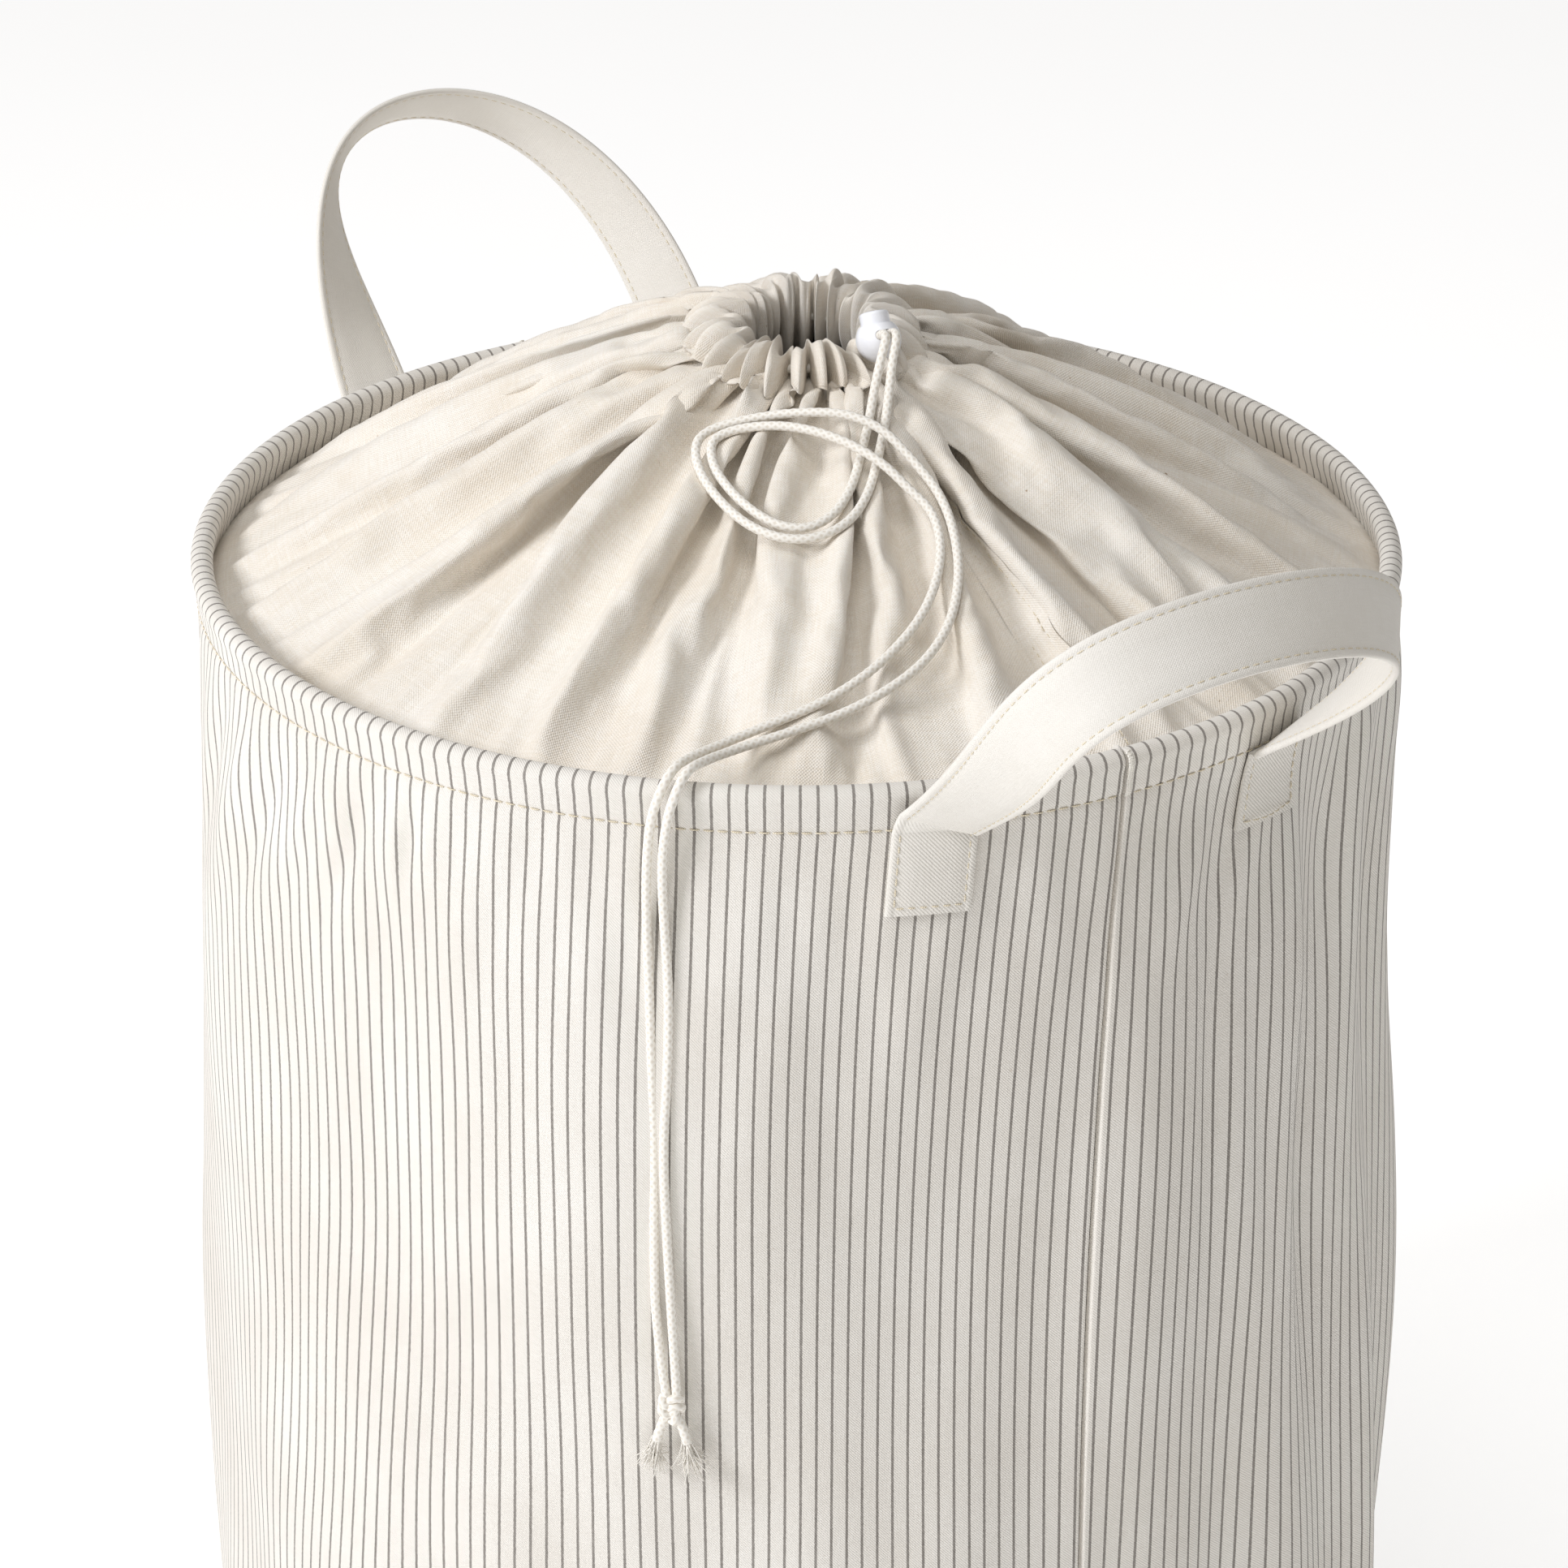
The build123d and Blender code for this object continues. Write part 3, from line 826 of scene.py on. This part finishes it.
def channel_points(edge):
    """The channel's rows: the collar's pleats flatten towards the mouth, where the cord draws fine ribs."""
    from_centre = edge[:, :2] - mouth_centre
    radius = np.linalg.norm(from_centre, axis=1)
    outward = from_centre / radius[:, None]
    pleat = radius - gather_radius
    turn = np.arctan2(outward[:, 1], outward[:, 0])
    sway = 1 + 0.22 * smooth_noise(turn, range(3, 17), seed=21)
    along_cloth = np.linspace(0, 2 * math.pi, len(edge), endpoint=False)
    phase = rib_count * along_cloth + 1.5 * smooth_noise(along_cloth, range(2, 20), seed=23)
    size = rib_depth * (1 + 0.3 * np.tanh(smooth_noise(along_cloth, range(3, 30), seed=24)))
    level = gather_level(turn)
    rows = []
    for ring, rise, share, rib in channel_profile:
        slant = phase + 0.05 * rise
        ring_radius = ring * MM + pleat * share + 0.5 * MM * smooth_noise(turn, range(2, 9), seed=22)
        ring_radius = ring_radius + rib * size * np.sin(slant)
        height = level + (rise * MM) * sway.clip(0.75, 1.2) + (edge[:, 2] - level) * share
        height = height + 0.6 * rib * size * np.cos(slant + 1.0)
        rows.append(np.column_stack([mouth_centre + outward * ring_radius[:, None], height]))
    return np.array(rows)


channel_edge = between_points(collar_grid[-1])
channel_grid = channel_points(channel_edge)
channel_run = arc_lengths(np.array(channel_profile)[:, :2] * MM)
channel_u = np.linspace(0, 2 * math.pi * collar_radius, len(channel_edge) + 1)
channel_uv = np.stack(np.meshgrid(channel_u, collar_depth + channel_run), axis=2)
channel = grid_object("channel", channel_grid, channel_uv, calico, closed=True)
subdivide(channel)


# ------------------------ wall
def wall_profile():
    """Heights and outer radii of the CAD wall, from its base to the hem."""
    mesh = frame["nodes"]["front_panel"].data
    points = np.array([vertex.co for vertex in mesh.vertices])
    normals = np.array([vertex.normal for vertex in mesh.vertices])
    radii = np.hypot(points[:, 0], points[:, 1])
    facing = (points[:, 0] * normals[:, 0] + points[:, 1] * normals[:, 1]) / radii
    outer = {}
    for height, radius in zip(points[facing > 0.8, 2], radii[facing > 0.8]):
        outer[round(float(height), 4)] = max(radius, outer.get(round(float(height), 4), 0.0))
    heights = sorted(outer)
    return np.array(heights), np.array([outer[height] for height in heights])


profile_heights, profile_radii = wall_profile()
seam_drift_angle = math.radians(-3.5)
seam_drift_depth = 85 * MM
seam_drift_reach = 0.55


def seam_drift(turn, height):
    """How far the wall has turned from its top down to a height. It is most at the front seam."""
    below = np.maximum(hem_foot - height, 0)
    near_seam = np.exp(-((turn / seam_drift_reach) ** 2))
    return seam_drift_angle * (1 - np.exp(-below / seam_drift_depth)) * near_seam


def cloth_field(turn, height, around, lengths, seed, count=16):
    """Smooth random relief of about unit size, from waves around the bag that drift with height."""
    random = np.random.default_rng(seed)
    total = np.zeros(np.broadcast(turn, height).shape)
    for _ in range(count):
        wave = random.integers(around[0], around[1] + 1)
        length = random.uniform(*lengths) * random.choice([-1, 1])
        phase = random.uniform(0, 2 * math.pi)
        total += random.normal() * np.cos(wave * turn + 2 * math.pi * height / length + phase)
    return total / math.sqrt(count / 2)


# Single folds of the wall: angle in degrees, middle height, half width, half length and depth in mm, lean.
single_folds = [
    (-66.0, 515, 4.0, 13, -3.2, 0.10),
    (-68.0, 512, 4.5, 18, 1.8, 0.10),
    (12.5, 430, 7.0, 75, -3.4, -0.02),
    (18.5, 400, 8.0, 70, -3.0, -0.10),
    (23.5, 455, 8.0, 50, 3.4, -0.06),
    (27.0, 350, 9.0, 60, -3.4, -0.05),
    (31.0, 480, 9.0, 45, -3.4, 0.06),
    (8.0, 497, 7.0, 22, 2.4, 0.30),
    (14.5, 505, 6.0, 20, -2.4, 0.35),
    (-74.0, 500, 6.0, 24, -2.0, 0.45),
    (-80.0, 505, 7.0, 28, 2.6, 0.50),
    (-86.0, 500, 7.0, 34, -2.6, 0.50),
    (-92.0, 500, 8.0, 40, 3.0, 0.45),
    (-99.0, 495, 8.0, 40, -3.0, 0.40),
    (-10.0, 360, 26.0, 120, -1.5, 0.02),
    (-52.0, 330, 30.0, 150, 1.6, 0.05),
    (-30.0, 420, 24.0, 90, 1.2, -0.04),
    (40.0, 300, 12.0, 110, 3.0, 0.03),
]


def wall_relief(turn, height):
    """How far the soft wall stands off its even shape."""
    below = np.clip(hem_foot - height, 0, 1)
    free = (1 - np.exp(-below / (18 * MM))) * np.clip(height / (30 * MM), 0, 1)
    right_side = 0.3 + 0.7 / (1 + np.exp(-(np.sin(turn + 0.1) * 9 - 0.4)))
    dents = 2.0 * cloth_field(turn, height, (2, 7), (0.25, 0.7), seed=31)
    flutes = 1.5 * cloth_field(turn, height, (13, 34), (0.3, 1.2), seed=32) * right_side
    puckers = 1.0 * cloth_field(turn, height, (34, 70), (0.05, 0.12), seed=33) * np.exp(-below / (40 * MM))
    folds = 0.0
    for degrees, middle, half_width, half_length, depth, lean in single_folds:
        aside = (turn - math.radians(degrees) + math.pi) % (2 * math.pi) - math.pi
        up = height - middle * MM
        aside = aside * rim_radius - lean * up
        along = np.exp(-((up / (half_length * MM)) ** 2))
        across = aside / (half_width * MM)
        folds = folds + depth * along * np.exp(-(across**2))
    return (dents + flutes + puckers + folds) * free * MM


def from_seam(turn):
    """The angle from the nearest side seam."""
    return (turn + math.pi / 2) % math.pi - math.pi / 2


def seam_relief(turn):
    """How far the panels' turned-in edges stand off, in mm, before and after a side seam."""
    distance = np.abs(from_seam(turn)) * rim_radius / MM
    before = -2.4 * np.exp(-((distance / 0.8) ** 2))
    after = 0.45 * np.exp(-((distance / 5.0) ** 2)) - 2.6 * np.exp(-((distance / 0.35) ** 2))
    return before, after


def wall_surface(turn, height, radius, after_seam):
    """Points of the wall or hem: angles on the cut cloth, heights, even radii, and the side of the seam."""
    angle = turn + seam_drift(turn, height)
    free = np.clip((hem_foot - height) / (60 * MM), 0, 1) * np.sin(turn) ** 2
    angle = angle + 0.9 * MM / rim_radius * free * cloth_field(turn, height, (6, 20), (0.08, 0.3), seed=34)
    before, after = seam_relief(turn)
    is_after = np.where(np.abs(from_seam(turn)) < 1e-9, after_seam, from_seam(turn) > 0)
    reach = radius + np.where(is_after, after, before) * MM
    return ring_points(angle, reach, height)


def panel_turns(start):
    """The angles of a panel's columns, closer together next to its seams."""
    near = np.array([0, 0.15, 0.3, 0.5, 0.75, 1.1, 1.6, 2.2, 3.0, 4.0, 5.2, 6.6, 8.2]) * MM / rim_radius
    middle = np.linspace(near[-1], math.pi - near[-1], 350)[1:-1]
    return start + np.concatenate([near, middle, math.pi - near[::-1]])


def panel_object(name, start, profile, relief_share, run_start):
    """Half of the wall or of the hem, from one side seam to the other, with its stripes and weave."""
    turn = panel_turns(start)[None, :]
    radius, height = profile[:, 0][:, None], profile[:, 1][:, None]
    relief = wall_relief(turn, height) * relief_share
    to_start = np.abs(turn - start) < math.pi / 2
    points = wall_surface(turn, height + 0 * turn, radius + relief, to_start)
    run = run_start + arc_lengths(profile)
    u = turn[0] * rim_girth / (2 * math.pi)
    uv = np.stack(np.meshgrid(u, run), axis=2)
    return grid_object(name, points, uv, striped_canvas)


roll_radius = 3.9 * MM
foot_radius = float(np.interp(hem_foot, profile_heights, profile_radii))
wall_heights = np.concatenate([np.linspace(0.0003, 0.02, 10), np.linspace(0.0225, hem_foot, 190)])
wall_radii = np.interp(wall_heights, profile_heights, profile_radii)
wall_radii[:3] -= np.array([3.0, 1.2, 0.3]) * MM
groove = 0.5 * MM * np.exp(-(((wall_heights - hem_foot) / (1.6 * MM)) ** 2))
wall_line = np.column_stack([wall_radii - groove, wall_heights])
hem_line = []
for out, up in ((-0.5, 0), (-0.2, 0.8), (0.15, 2), (0.4, 4), (0.6, 6), (0.8, 8)):
    hem_line.append((foot_radius + out * MM, hem_foot + up * MM))
roll_steps = 14
for step in range(roll_steps + 1):
    roll = math.pi * (step / roll_steps * 1.1 - 0.05)
    hem_line.append((hoop_radius + roll_radius * math.cos(roll), hoop_height + roll_radius * math.sin(roll)))
hem_line += [
    (hoop_radius - 3.4 * MM, hoop_height - 3.5 * MM),
    (hoop_radius - 2.2 * MM, hoop_height - 7 * MM),
    (hoop_radius - 1.2 * MM, hem_foot),
    (hoop_radius - 0.9 * MM, hem_foot - 2 * MM),
]
hem_line = np.array(hem_line)
wall_run = arc_lengths(wall_line)[-1]
front_start, back_start = -math.pi, 0.0
wall_front = panel_object("wall_front", front_start, wall_line, relief_share=1.0, run_start=0.0)
wall_back = panel_object("wall_back", back_start, wall_line, relief_share=1.0, run_start=0.0)
hem_front = panel_object("hem_front", front_start, hem_line, relief_share=0.0, run_start=wall_run)
hem_back = panel_object("hem_back", back_start, hem_line, relief_share=0.0, run_start=wall_run)


# ------------------------ stitches
# Each kind of stitch as its length, gap and thread radius.
hem_stitch = (3.4 * MM, 1.0 * MM, 0.26 * MM)
strap_stitch = (2.9 * MM, 0.8 * MM, 0.22 * MM)
box_stitch = (2.6 * MM, 0.8 * MM, 0.24 * MM)
collar_stitch = (2.6 * MM, 0.9 * MM, 0.2 * MM)
seam_gap = 0.012
tack_turns = 40
tack_half_width = 0.9 * MM
tack_thread_radius = 0.34 * MM
tack_off = 0.75 * MM


def stitch_parts(line, outward, length, gap, radius):
    """Separate stitches along a line that lie on a surface facing outward, each dipping in at its ends."""
    along = arc_lengths(line)
    count = int(along[-1] / (length + gap))
    parts = []
    for index in range(count):
        start = (index + 0.5) * along[-1] / count - length / 2
        steps = start + np.linspace(0, 1, 6) * length
        middle = at_distances(steps, along, line)
        normal = at_distances(steps, along, outward)
        dip = np.array([1.4, 0.2, -0.2, -0.2, 0.2, 1.4]) * radius
        taper = np.array([0.5, 0.95, 1.0, 1.0, 0.95, 0.5]) * radius
        parts.append(tube_parts(middle - normal * dip[:, None], taper, 6))
    return parts


def hem_stitches_object():
    """The row of stitches round the foot of the hem, open at the front side seam."""
    turn = np.linspace(seam_gap, 2 * math.pi - seam_gap, 1600)
    line = ring_points(turn, foot_radius - 0.1 * MM, hem_foot + 0.2 * MM)
    parts = stitch_parts(line, ring_points(turn, 1.0, 0.0), *hem_stitch)
    return joined_object("hem_stitches", parts, thread_cotton)


def bar_tack(name, turn):
    """A dense zigzag of white thread down the hem at a side seam, over the roll."""
    tack_low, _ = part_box(name)
    outer = hem_line[:13]
    heights = np.linspace(tack_low.z, outer[-1][1], tack_turns)
    radii = np.interp(heights, outer[:, 1], outer[:, 0]) + tack_off
    spread = tack_half_width * np.where(np.arange(tack_turns) % 2, 1, -1) / rim_radius
    line = ring_points(turn + spread, radii, heights)
    tube = tube_parts(resampled(line, 6 * tack_turns), tack_thread_radius, 6)
    return joined_object(name + "_threads", [tube], white_thread)


hem_stitches = hem_stitches_object()
front_tack = bar_tack("front_bar_tack", math.radians(0.15))
back_tack = bar_tack("back_bar_tack", math.radians(180.15))

# ------------------------ strap handles
strap_width = 28 * MM
strap_thickness = 2.2 * MM
handle_half_angle = math.radians(18)
sewn_height = 28 * MM
stitch_groove = 0.405
strap_edge = [
    (0.5, 0.0),
    (0.492, 0.30),
    (0.465, 0.48),
    (0.425, 0.5),
    (stitch_groove, 0.38),
    (0.385, 0.46),
    (0.2, 0.48),
]
strap_face = [(-across, through) for across, through in strap_edge] + [(0.0, 0.48)] + strap_edge[:0:-1]
strap_outline = np.array(strap_face + [(-across, -through) for across, through in strap_face])


def handle_sections(side, lean, rise, bulge, skew, power, tip, twist_start, twist_end, foot_height):
    """Middles and width directions along a handle's loop of strap. It is given in degrees and mm."""
    turn = np.linspace(0, math.pi, 141)
    lift = np.sin(turn)
    reach = rim_radius + 1 * MM
    half_chord = reach * math.sin(handle_half_angle)
    foot_x = reach * math.cos(handle_half_angle) + 2 * MM
    lean = math.radians(lean)
    up = np.array([math.sin(lean), 0, math.cos(lean)])
    outward = np.array([math.cos(lean), 0, -math.sin(lean)])
    sideways = -half_chord * np.cos(turn) * (1 + bulge * lift**2) + skew * MM * lift**1.5
    middles = np.array([foot_x, 0, foot_height * MM]) + sideways[:, None] * np.array([0, 1.0, 0])
    middles = middles + (rise * MM * lift**power)[:, None] * up + (tip * MM * lift**2)[:, None] * outward
    tangents = unit(np.gradient(middles, axis=0))
    level = unit(np.cross(tangents, outward))
    facing = np.cross(level, tangents)
    facing = facing * np.sign(facing @ outward)[:, None]
    foot_twist = np.radians(np.where(turn < math.pi / 2, twist_start, twist_end))
    twist = foot_twist + (math.pi / 2 - foot_twist) * lift
    widths = np.cos(twist)[:, None] * level + np.sin(twist)[:, None] * facing
    half_turn = np.array([side, side, 1.0])
    return middles * half_turn, widths * half_turn


def strap_object(name, middles, widths, facing, material, sag=0.0):
    """A flat strap of folded cloth. sag lifts the points of its section."""
    across, through = strap_outline.T
    aside = widths[:, None] * (across * strap_width)[None, :, None]
    points = middles[:, None] + aside + facing[:, None] * (through * strap_thickness + sag)[None, :, None]
    section = strap_outline * [strap_width, strap_thickness]
    section = np.vstack([section, strap_outline[:1] * [strap_width, 0]])
    uv = np.stack(np.meshgrid(arc_lengths(section), arc_lengths(middles)), axis=2)
    return grid_object(name, points, uv, material, closed=True)


def strap_stitches(name, middles, widths, facing):
    """Rows of stitches near both edges, on both faces."""
    parts = []
    for edge in (-stitch_groove, stitch_groove):
        for face in (-1, 1):
            line = middles + widths * (edge * strap_width) + facing * (face * 0.42 * strap_thickness)
            parts += stitch_parts(line, facing * face, *strap_stitch)
    return joined_object(name, parts, thread_cotton)


handle_shapes = {
    "front_handle": dict(
        side=1,
        lean=51,
        rise=130,
        bulge=0.7,
        skew=-16,
        power=0.8,
        tip=-14,
        twist_start=25,
        twist_end=20,
        foot_height=538,
    ),
    "back_handle": dict(
        side=-1,
        lean=38,
        rise=110,
        bulge=0.1,
        skew=15,
        power=0.85,
        tip=0,
        twist_start=45,
        twist_end=0,
        foot_height=542,
    ),
}
handles = {}
for handle_name, shape in handle_shapes.items():
    middles, widths = handle_sections(**shape)
    facing = unit(np.cross(unit(np.gradient(middles, axis=0)), widths))
    strap = strap_object(handle_name + "_strap", middles, widths, facing, webbing)
    stitches = strap_stitches(handle_name + "_stitches", middles, widths, facing)
    handles[handle_name] = (strap, stitches, middles, widths)


def wall_place(turn, height, off):
    """Points off the soft wall, and the outward directions there."""
    radius = np.interp(height, profile_heights, profile_radii) + wall_relief(turn, height) + off
    angle = turn + seam_drift(turn, height)
    return ring_points(angle, radius, height), ring_points(angle, 1.0, 0.0)


def sewn_end(name, turn, fold_middle, fold_width):
    """A strap's end sewn flat on the wall in a box of stitches, and its way up to the handle's loop."""
    rows = 30
    half = strap_width / 2
    fold_width = fold_width * np.sign(fold_width @ np.array([-math.sin(turn), math.cos(turn), 0.0]))
    middles, widths = [], []
    patch_off = 1.3 * MM
    for row in range(rows):
        height = hem_foot - sewn_height + sewn_height * row / (rows - 1)
        ends, _ = wall_place(turn + np.array([-half, half]) / foot_radius, np.full(2, height), patch_off)
        middles.append(ends.mean(axis=0))
        widths.append(unit(ends[1] - ends[0]))
    steps = 6
    top_middle, top_width = middles[-1], widths[-1]
    for step in range(1, steps + 1):
        share = step / steps
        middles.append(top_middle + (fold_middle - top_middle) * share)
        widths.append(unit(top_width + (fold_width - top_width) * share))
    middles, widths = np.array(middles), np.array(widths)
    outward = np.array([[math.cos(turn), math.sin(turn), 0.0]])
    sag = (1 - (2 * strap_outline[:, 0]) ** 2) * half**2 / (2 * foot_radius)
    patch = strap_object(name + "_strap", middles, widths, outward, patch_cloth, sag)
    lift = 0.45 * strap_thickness
    box = []
    inset = 0.095 * strap_width
    for first, last in (
        ((-half + inset, sewn_height), (-half + inset, inset)),
        ((-half + inset, inset), (half - inset, inset)),
        ((half - inset, inset), (half - inset, sewn_height)),
    ):
        aside = np.linspace(first[0], last[0], 30)
        height = np.linspace(first[1], last[1], 30) + hem_foot - sewn_height
        line, facing = wall_place(turn + aside / foot_radius, height, patch_off + lift)
        box += stitch_parts(line, facing, *box_stitch)
    stitches = joined_object(name + "_stitches", box, thread_cotton)
    return patch, stitches


sewn_ends = []
for handle_name, (strap, stitches, middles, widths) in handles.items():
    heading = 0.0 if handle_name == "front_handle" else math.pi
    for word, side, index in (("left", -1, 0), ("right", 1, -1)):
        name = f"{handle_name}_end_{word}"
        patch, box = sewn_end(name, heading + side * handle_half_angle, middles[index], widths[index])
        sewn_ends.append((name, patch, box))

# ------------------------ knot and frayed ends
def knot_object():
    """An overhand knot of the two cords: three wraps that cross over each other."""
    turn = np.linspace(0, 2 * math.pi, 160)
    parts = []
    for shift, scale in ((-1.7, 1.0), (1.5, 0.92)):
        x = (np.sin(turn) + 2 * np.sin(2 * turn)) / 3
        y = (np.cos(turn) - 2 * np.cos(2 * turn)) / 3
        z = -np.sin(3 * turn) * 0.42
        forward = np.cross(knot_across, [0, 0, 1])
        loop = x[:, None] * knot_across + y[:, None] * np.array([0, 0, 1.1]) + z[:, None] * forward
        line = knot_centre + knot_size * scale * loop + np.array([0, 0, shift * MM])
        parts.append(tube_parts(resampled(line, 120), cord_diameter / 2 * 0.92, 14, braid_relief))
    return joined_object("knot_wraps", parts, cord_cotton)


brush_yarns = 120
brush_spread = 0.16


def brush_object(name, side, seed):
    """A cord's end below the knot: a short braided stub that opens into loose yarns."""
    random = np.random.default_rng(seed)
    down = unit(np.array([0, 0, -1.0]) + knot_across * (side * 0.2))
    top = knot_centre + knot_across * (side * cord_spacing / 2) - np.array([0, 0, knot_entry_rise - 1 * MM])
    stub_length = 11 * MM
    steps = np.linspace(0, 1, 24)[:, None]
    sway = knot_across * (side * 1.2 * MM)
    stub = top + down * stub_length * steps + sway * np.sin(steps * math.pi / 2)
    parts = [tube_parts(stub, cord_diameter / 2 * np.linspace(0.95, 1.1, 24), 12, braid_relief)]
    foot = stub[-1]
    for _ in range(brush_yarns):
        spread = random.normal(0, brush_spread, 3)
        direction = unit(down + spread * np.array([1.0, 1.0, 0.5]))
        length = random.uniform(8, 13) * MM
        start = foot + random.normal(0, 0.6 * MM, 3) - down * 1.5 * MM
        curl = np.cumsum(np.cumsum(random.normal(0, 0.16, (12, 3)), axis=0), axis=0)
        along = np.linspace(0, 1, 12)[:, None]
        strand = start + direction * length * along + curl * length * 0.05 * along
        radius = np.linspace(0.3, 0.16, 12) * MM
        parts.append(tube_parts(strand, radius, 5))
    return joined_object(name, parts, cord_cotton)


knot = knot_object()
brush_left = brush_object("brush_left", -1, seed=51)
brush_right = brush_object("brush_right", 1, seed=52)

# ------------------------ collar seam
seam_columns = 5


def collar_seam_object():
    """The felled seam of the collar: a raised band up a fold of the cloth, and its two rows of stitches."""
    band = collar_grid[:, :seam_columns]
    across = unit(np.gradient(band, axis=1))
    along = unit(np.gradient(band, axis=0))
    normal = unit(np.cross(across, along))
    lift = np.array([0.15, 0.6, 0.7, 0.6, 0.15])[None, :, None] * MM
    points = band + normal * lift
    tape = grid_object("collar_seam_band", points, collar_uv[:, :seam_columns], calico)
    subdivide(tape)
    parts = []
    for column in (1, 3):
        line = points[:, column] + normal[:, column] * 0.15 * MM
        parts += stitch_parts(line, normal[:, column], *collar_stitch)
    return tape, joined_object("collar_seam_stitches", parts, thread_cotton)


collar_seam, collar_seam_stitches = collar_seam_object()

# ------------------------ base
def base_object():
    """The base's cloth, gently hollow where it spans the floor."""
    rings = np.linspace(0.0, 1.0, 24)
    turn = np.linspace(0, 2 * math.pi, 96, endpoint=False)
    radius = (2 * MM + (foot_radius - 1 * MM) * rings)[:, None]
    height = (0.25 * MM + 0.5 * MM * (1 - rings**6))[:, None] + 0 * turn
    points = ring_points(turn, radius, height)
    closed = np.append(turn, 2 * math.pi)
    uv = np.stack([radius * np.cos(closed), radius * np.sin(closed)], axis=2)
    return grid_object("base_cloth", points[::-1], uv[::-1], calico, closed=True)


base_cloth = base_object()

# ------------------------ CAD parts that stay
node_materials = {
    "lock_body": plastic,
    "lock_plunger": plastic,
    "lock_spring": steel,
    "rim_hoop": hoop_coating,
    "base_board": fibre_board,
    "base_binding": webbing,
    "drawcord_loop": cord_cotton,
}
for node_name, material in node_materials.items():
    node = frame["nodes"][node_name]
    node.data.materials.clear()
    node.data.materials.append(material)

# ------------------------ the CAD parts that the new pieces redraw are hidden, and the pieces ride on the bag
tail_left, tail_right = bpy.data.objects["tail_left"], bpy.data.objects["tail_right"]
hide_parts("front_panel", "front_side_seam")
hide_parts("back_panel", "back_side_seam")
for piece, node_name in (
    (hem_front, "rim_hem"),
    (collar, "collar"),
    (collar_seam, "collar_seam"),
    (channel, "drawcord_channel"),
    (base_cloth, "base_panel"),
    (front_tack, "front_bar_tack"),
    (back_tack, "back_bar_tack"),
    (knot, "drawcord_knot"),
    (brush_left, "drawcord_brush_left"),
    (brush_right, "drawcord_brush_right"),
    (tail_left, "drawcord_tail_left"),
    (tail_right, "drawcord_tail_right"),
):
    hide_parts(node_name)

slots = {
    "striped_canvas": [wall_front, wall_back, hem_front, hem_back],
    "calico": [collar, collar_seam, channel, base_cloth],
    "thread": [hem_stitches, front_tack, back_tack, collar_seam_stitches],
    "cord": [knot, brush_left, brush_right],
}
for slot_name, pieces in slots.items():
    for piece in pieces:
        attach(piece, "bag")
for name, patch, box in sewn_ends:
    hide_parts(name)
    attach(patch, "bag")
    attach(box, "bag")

# The tails leave the lock along its bore and lie on the bag from the collar on; here their placements are
# only baked into their meshes.
for tail in (tail_left, tail_right):
    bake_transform(tail)

# Each handle's loop bends just above the place where it is sewn; here its CAD part is hidden, and its strap's
# and stitches' placements are baked into their meshes.
for handle_name, (strap, stitches, middles, widths) in handles.items():
    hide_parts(handle_name)
    shape = handle_shapes[handle_name]
    for piece, slot_name in ((strap, "webbing"), (stitches, "thread")):
        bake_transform(piece)

# ------------------------ floor, world and lights
floor_nodes = Nodes("floor")
floor_tone = floor_nodes.noise(floor_nodes.place, 3.0, 3.0)
floor_tint = floor_nodes.mix(floor_tone, (0.93, 0.93, 0.93, 1.0), (0.96, 0.96, 0.96, 1.0))
floor_material = floor_nodes.finish(floor_tint, 0.8, floor_nodes.bump(floor_tone, 0.2 * MM, 0.1))
floor_nodes.shader.inputs["Emission Color"].default_value = (1.0, 1.0, 1.0, 1.0)
floor_nodes.shader.inputs["Emission Strength"].default_value = 0.5
half_floor = 12.0
square = [(0, 0), (1, 0), (1, 1), (0, 1)]
floor_corners = [((2 * x - 1) * half_floor, (2 * y - 1) * half_floor, 0) for x, y in square]
floor = mesh_object("floor", floor_corners, [(0, 1, 2, 3)], square, floor_material)

# A studio that is brighter on the key light's side.
light_heading = math.radians(-95)
scene = bpy.context.scene
scene.world = bpy.data.worlds.new("studio")
scene.world.use_nodes = True
world_tree = scene.world.node_tree
background = world_tree.nodes["Background"]
background.inputs["Color"].default_value = (1.0, 0.975, 0.945, 1.0)
sky_direction = world_tree.nodes.new("ShaderNodeTexCoord")
sky_side = world_tree.nodes.new("ShaderNodeVectorMath")
sky_side.operation = "DOT_PRODUCT"
sky_side.inputs[1].default_value = (math.cos(light_heading), math.sin(light_heading), 0)
sky_strength = world_tree.nodes.new("ShaderNodeMapRange")
sky_strength.inputs["From Min"].default_value = -1.0
sky_strength.inputs["To Min"].default_value = 0.16
sky_strength.inputs["To Max"].default_value = 0.52
world_tree.links.new(sky_direction.outputs["Generated"], sky_side.inputs[0])
world_tree.links.new(sky_side.outputs["Value"], sky_strength.inputs["Value"])
world_tree.links.new(sky_strength.outputs["Result"], background.inputs["Strength"])
scene.view_settings.view_transform = "Standard"


def area_light(name, heading, rise, distance, size, power, tint=(1.0, 1.0, 1.0)):
    """A square soft light that faces the rim. heading is measured from +X towards +Y, in degrees."""
    light = add_object(name, bpy.data.lights.new(name, "AREA"))
    light.data.size = size
    light.data.energy = power
    light.data.color = tint
    heading, rise = math.radians(heading), math.radians(rise)
    level = math.cos(rise)
    towards = Vector((level * math.cos(heading), level * math.sin(heading), math.sin(rise)))
    target = Vector((0, 0, rim_top))
    light.location = target + towards * distance
    light.rotation_euler = (target - light.location).to_track_quat("-Z", "Y").to_euler()


area_light("key", heading=-88, rise=28, distance=2.2, size=0.7, power=29, tint=(0.97, 0.985, 1.03))
area_light("top", heading=-60, rise=80, distance=3.0, size=1.6, power=27)
